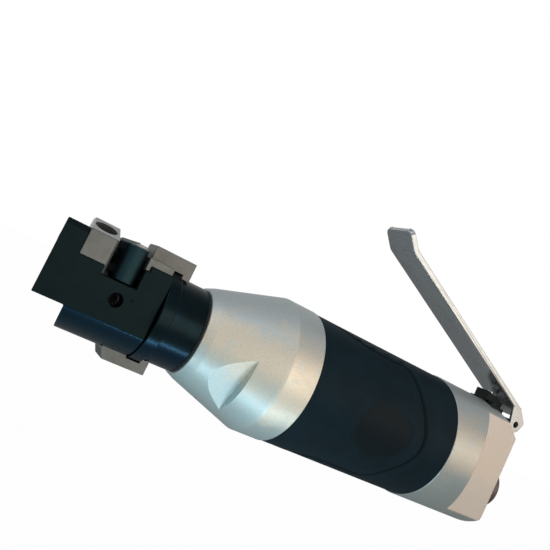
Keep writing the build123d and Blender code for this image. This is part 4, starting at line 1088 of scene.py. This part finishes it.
class PUNCH_OT_bracket(bpy.types.Operator):
    """Blackened bracket with the tower round the throttle stem, the hinge lug and the hinge pin"""

    bl_idname = "punch.bracket"
    bl_label = "Lever bracket and pin"

    def execute(self, context):
        front, rear, top = REAR_FACE - 12.7, VALVE_X + 4.4, LEVER_SEAT + 1.2
        flange_half, pad_half, lug_half = 6.8, 5.2, 3.4
        bracket = prism("bracket", [
            (front, LEVER_SEAT), (front, top), (rear, top),
            (rear, slope_height(rear)), (SLOPE_FRONT, LEVER_SEAT),
        ], -flange_half, flange_half)
        flange_end = SLOPE_FRONT - 0.4
        for side in (1, -1):
            near, far = side * pad_half, side * 9
            strip = [(flange_end, near), (rear + 1, near), (rear + 1, far), (flange_end, far)]
            cut(bracket, prism("strip", strip, 10, 30, "Z"))
        heel = REAR_FACE - 0.8
        lug = rounded([
            (VALVE_X, slope_height(VALVE_X) + 0.1), (VALVE_X, slope_height(VALVE_X) + 1.0),
            (rear + 0.3, slope_height(rear + 0.3) + 1.5), (PIVOT_X + 1.2, PIVOT_Z + 1.65, 1.4),
            (PIVOT_X + 1.6, PIVOT_Z - 1.65, 1.4), (heel, slope_height(heel) + 0.1),
        ])
        add(bracket, prism("lug", lug, -lug_half, lug_half))
        ease(bracket, 0.15 * MM, 30, 2)
        cut(
            bracket,
            drum("pin hole", "Y", (PIVOT_X, PIVOT_Z), -20, 20, PIN_RADIUS + FIT),
            drum("valve hole", "Z", (VALVE_X, 0), 10, 30, VALVE_BORE),
            *(drum("screw hole", "Z", (front + 1.9, y), 10, 30, 1.02, 32) for y in (-5.0, 5.0)),
        )
        outline = [(front, top), (front, top + 4.2), (rear, top + 2.2), (rear, top)]
        tower = prism("tower", outline, -lug_half, lug_half)
        wall, stem_way = 1.6, 2.2
        cut(tower, slab("stem way", front + wall, rear + 1, stem_way, top - 1, top + 9))
        pick_edges(tower, lambda a, b: max(a.z, b.z) > top + 0.1)
        bpy.ops.mesh.bevel(offset=0.25 * MM, segments=4, affect="EDGES", clamp_overlap=False)
        bpy.ops.object.mode_set(mode="OBJECT")
        join(bracket, tower)
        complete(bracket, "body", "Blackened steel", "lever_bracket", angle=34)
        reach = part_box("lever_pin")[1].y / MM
        pin = drum("hinge_pin", "Y", (PIVOT_X, PIVOT_Z), -reach, reach, PIN_RADIUS, 40)
        ease(pin, 0.3 * MM, 40, 4)
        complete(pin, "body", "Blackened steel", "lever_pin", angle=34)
        return {"FINISHED"}


class PUNCH_OT_seals(bpy.types.Operator):
    """Rubber rings of the barrel, the separator, the pistons and the valve"""

    bl_idname = "punch.seals"
    bl_label = "Seals"

    # Body, and each ring's middle along the tool axis, inner radius and outer radius
    RINGS = {
        "barrel_seals": ("body", [(GRIP_FRONT + 4.0, 16.62, 18.4), (GRIP_REAR - 4.0, 16.62, 18.4)]),
        "separator_seals": ("body", [(GRIP_REAR - 23.9, 7.03, 8.78), (GRIP_REAR - 23.9, 15.72, 17.48)]),
        "piston_seals": ("ram", [(GRIP_REAR - 32.6, 15.72, 17.45), (GRIP_REAR - 12.1, 15.72, 17.45)]),
    }
    # Body and inner radius of the valve's rings
    WASHERS = {"valve_bushing_seal": ("body", 2.62), "stem_seal": ("throttle", 1.22)}

    def execute(self, context):
        for node, (body, places) in self.RINGS.items():
            group = join(*[self.ring(*place) for place in places])
            group.name = node.replace("seals", "seal_rings")
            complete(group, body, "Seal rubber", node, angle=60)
        for node, (body, inner) in self.WASHERS.items():
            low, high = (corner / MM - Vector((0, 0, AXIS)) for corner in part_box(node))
            ring = self.ring(0.0, inner, (high.x - low.x) / 2, (high.z - low.z) / 2, 64)
            place = Matrix.Translation((VALVE_X, 0, (low.z + high.z) / 2)) @ Matrix.Rotation(pi / 2, 4, "Y")
            ring.name = node.replace("seal", "washer")
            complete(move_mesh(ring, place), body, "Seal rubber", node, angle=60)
        return {"FINISHED"}

    def ring(self, middle, inner, outer, reach=1.2, sides=120):
        """Rubber ring with rounded corners."""
        soft = min(reach, (outer - inner) / 2) * 0.6
        return lathe("ring", rounded([
            (middle - reach, inner, soft), (middle - reach, outer, soft),
            (middle + reach, outer, soft), (middle + reach, inner, soft),
        ], 4), sides)


class PUNCH_OT_springs(bpy.types.Operator):
    """Return spring and valve spring"""

    bl_idname = "punch.springs"
    bl_label = "Springs"

    def execute(self, context):
        lying, upright = Matrix.Rotation(pi / 2, 4, "Y"), Matrix.Identity(4)
        self.coil("return_coil", "return_spring", 1.0, 7, "ram_slide", 2.3, lying)
        self.coil("valve_coil", "valve_spring", 0.35, 4, "throttle_slide", 2.0, upright)
        return {"FINISHED"}

    def coil(self, name, node, wire, turns, joint, travel, turn):
        """Helix of wire of this radius in place of a spring's solid; the joint and travel arguments are not
        used.
        """
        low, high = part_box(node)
        axis = (turn @ Vector((0, 0, 1))).to_3d()
        span = (high - low) / MM
        reach = span.dot(axis)
        foot = Vector((low.x, 0, AXIS * MM)) if axis.x > 0.5 else Vector((VALVE_X * MM, 0, low.z))
        activate(None)
        bpy.ops.mesh.primitive_circle_add(
            vertices=12, radius=wire * MM, location=at(span.y / 2 - wire, 0, 0), rotation=(pi / 2, 0, 0))
        spring = settle(name)
        rise = (reach - 2 * wire) / turns * MM
        modify(spring, "SCREW", iterations=turns, steps=28, render_steps=28, screw_offset=rise)
        edit_all()
        bpy.ops.mesh.fill_holes(sides=0)
        all_outward()
        place = foot / MM - Vector((0, 0, AXIS)) + axis * wire
        move_mesh(spring, Matrix.Translation(place) @ turn)
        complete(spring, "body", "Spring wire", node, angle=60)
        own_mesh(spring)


# Stage


class PUNCH_OT_stage(bpy.types.Operator):
    """Pale floor, soft studio light and the camera"""

    bl_idname = "punch.stage"
    bl_label = "Stage"

    # Place, target, width, height, power and tint
    LAMPS = {
        "front panel": ((0.25, -0.75, 0.10), (-0.09, 0, 0.01), 0.8, 0.6, 2.1, (1.0, 0.95, 0.86)),
        "upper panel": ((-0.45, -0.35, 0.65), (-0.09, 0, 0.01), 0.7, 0.7, 1.2, (0.92, 0.97, 1.0)),
        "lower strip": (
            (-0.108, -0.0745, -0.093), (-0.108, -0.012, 0.001), 0.14, 0.006, 0.05, (0.75, 0.93, 1.0)),
    }
    # The camera's place and its three directions
    EYE = (-0.2132, -0.1963, 0.0172)
    RIGHT, UP, AHEAD = (0.7991, -0.4158, 0.4342), (-0.4241, 0.1219, 0.8974), (0.4261, 0.9013, 0.0789)
    LENS, SENSOR = 44.785, 36.0
    FLOOR_RADIUS, FLOOR_RIM, FLOOR_DROP = 6.0, 4.5, 0.12

    def execute(self, context):
        scene = context.scene
        scene.view_settings.view_transform = "Standard"
        self.floor(scene.punch_colours)
        self.surroundings(scene)
        for name, settings in self.LAMPS.items():
            self.lamp(name, *settings)
        eye = bpy.data.cameras.new("Camera")
        eye.lens = self.LENS
        eye.sensor_width = self.SENSOR
        eye.clip_start = 0.01
        camera = bpy.data.objects.new("Camera", eye)
        scene.collection.objects.link(camera)
        turn = Matrix((Vector(self.RIGHT), Vector(self.UP), -Vector(self.AHEAD))).transposed().to_4x4()
        camera.matrix_world = Matrix.Translation(self.EYE) @ turn
        scene.camera = camera
        return {"FINISHED"}

    def floor(self, colours):
        """Round pale floor that keeps a soft shadow and runs out into the white background; near the tool
        it is tinted in patches that the metal mirrors as painted reflections.
        """
        activate(None)
        height = CAD_BOX[0][2] - self.FLOOR_DROP
        bpy.ops.mesh.primitive_circle_add(
            vertices=96, radius=self.FLOOR_RADIUS, fill_type="NGON", location=(0, 0, height))
        floor = settle("floor")
        edit_all()
        bpy.ops.mesh.inset(thickness=self.FLOOR_RIM)
        bpy.ops.object.mode_set(mode="OBJECT")
        shader, place = new_finish("Pale floor", Roughness=0.9, Specular_IOR_Level=0.1)
        x, y, _ = place.axes()
        # Painted reflections: cool under the head, warm by the lever's hinge and grey behind the tool, for
        # the metal to mirror
        tone = x.smooth(60, -160).blend(shade(colours.floor_warm), shade(colours.floor_cool))
        tone = y.smooth(-20, 160).blend(tone, shade(colours.floor_far))
        place.tree.links.new(tone.socket, shader.inputs["Base Color"])
        away = place.node("ShaderNodeVectorMath", {"operation": "LENGTH"}, {0: place}, "Value")
        seen = self.rays(place, away.smooth(400, 1200) * y.smooth(-100, 300))
        glow = place.node("ShaderNodeEmission", None, {"Color": (1, 1, 1, 1), "Strength": 1.0})
        surface = Field(place.tree, shader.outputs[0])
        mixed = place.node("ShaderNodeMixShader", None, {0: seen * 0.985, 1: surface, 2: glow})
        place.tree.links.new(mixed.socket, place.tree.nodes["Material Output"].inputs["Surface"])
        floor.data.materials.append(bpy.data.materials["Pale floor"])

    def surroundings(self, scene):
        """White to the camera; a soft grey room that pales towards the horizon to everything else."""
        world = scene.world or bpy.data.worlds.new("World")
        scene.world = world
        world.use_nodes = True
        tree = world.node_tree
        tree.nodes.clear()
        root = Field(tree)
        x, y, z = root.node("ShaderNodeTexCoord", output="Generated").axes()
        room = z.node("ShaderNodeValToRGB", {"stops": [
            (0.0, (0.82, 0.90, 0.93, 1)),
            (0.48, (0.80, 0.84, 0.86, 1)),
            (0.62, (0.58, 0.58, 0.57, 1)),
            (1.0, (0.38, 0.42, 0.43, 1)),
        ]}, {"Fac": z * 0.5 + 0.5})
        wall = (x * 0.6 - y * 0.8).smooth(0.35, 0.95) * z.smooth(0.75, 0.15)
        room = wall.blend(room, (0.95, 0.78, 0.62, 1))
        studio = root.node("ShaderNodeBackground", None, {"Color": room, "Strength": 0.95})
        white = root.node("ShaderNodeBackground", None, {"Color": (1, 1, 1, 1), "Strength": 1.0})
        seen = self.rays(root, z.smooth(0.10, -0.05) * y.smooth(-0.2, 0.3))
        mixed = root.node("ShaderNodeMixShader", None, {0: seen, 1: studio, 2: white})
        out = tree.nodes.new("ShaderNodeOutputWorld")
        tree.links.new(mixed.socket, out.inputs["Surface"])

    def rays(self, root, backdrop):
        """1 for what the camera sees, and for mirrored and transmitted rays that reach the backdrop."""
        paths = root.node("ShaderNodeLightPath").socket.node.outputs
        kinds = ("Camera", "Glossy", "Transmission")
        camera, glossy, through = (Field(root.tree, paths[f"Is {kind} Ray"]) for kind in kinds)
        seen = camera + (glossy + through) * backdrop
        return seen.math("MINIMUM", seen, 1.0)

    def lamp(self, name, place, target, width, height, power, tint):
        """Soft rectangular lamp turned to a point."""
        light = bpy.data.lights.new(name, "AREA")
        light.shape = "RECTANGLE"
        light.size, light.size_y = width, height
        light.energy = power
        light.color = tint
        lamp = bpy.data.objects.new(name, light)
        bpy.context.scene.collection.objects.link(lamp)
        lamp.location = place
        lamp.rotation_euler = (Vector(target) - Vector(place)).to_track_quat("-Z", "Y").to_euler()
        lamp.visible_camera = False


class PUNCH_PT_panel(bpy.types.Panel):
    """Steps that model the hole punch, in order"""

    bl_idname = "PUNCH_PT_panel"
    bl_label = "Hole punch"
    bl_space_type = "VIEW_3D"
    bl_region_type = "UI"
    bl_category = "Hole punch"

    def draw(self, context):
        for step in STEPS:
            self.layout.operator(step.bl_idname)
        for group in (context.scene.punch_sizes, context.scene.punch_colours):
            for name in group.__annotations__:
                self.layout.prop(group, name)


STEPS = (
    PUNCH_OT_finishes, PUNCH_OT_grip, PUNCH_OT_nose, PUNCH_OT_neck, PUNCH_OT_rear, PUNCH_OT_head,
    PUNCH_OT_die, PUNCH_OT_jaw, PUNCH_OT_clamps, PUNCH_OT_lever, PUNCH_OT_bracket, PUNCH_OT_seals,
    PUNCH_OT_springs, PUNCH_OT_stage,
)
CLASSES = (PunchSizes, PunchColours, *STEPS, PUNCH_PT_panel)


def register():
    for item in CLASSES:
        bpy.utils.register_class(item)
    bpy.types.Scene.punch_sizes = PointerProperty(type=PunchSizes)
    bpy.types.Scene.punch_colours = PointerProperty(type=PunchColours)


def unregister():
    del bpy.types.Scene.punch_sizes
    del bpy.types.Scene.punch_colours
    for item in reversed(CLASSES):
        bpy.utils.unregister_class(item)


def main():
    register()
    bpy.ops.punch.finishes()
    bpy.ops.punch.grip()
    bpy.ops.punch.nose()
    bpy.ops.punch.neck()
    bpy.ops.punch.rear()
    bpy.ops.punch.head()
    bpy.ops.punch.die()
    bpy.ops.punch.jaw()
    bpy.ops.punch.clamps()
    bpy.ops.punch.lever()
    bpy.ops.punch.bracket()
    bpy.ops.punch.seals()
    bpy.ops.punch.springs()
    bpy.ops.punch.stage()


if __name__ == "__main__":
    main()
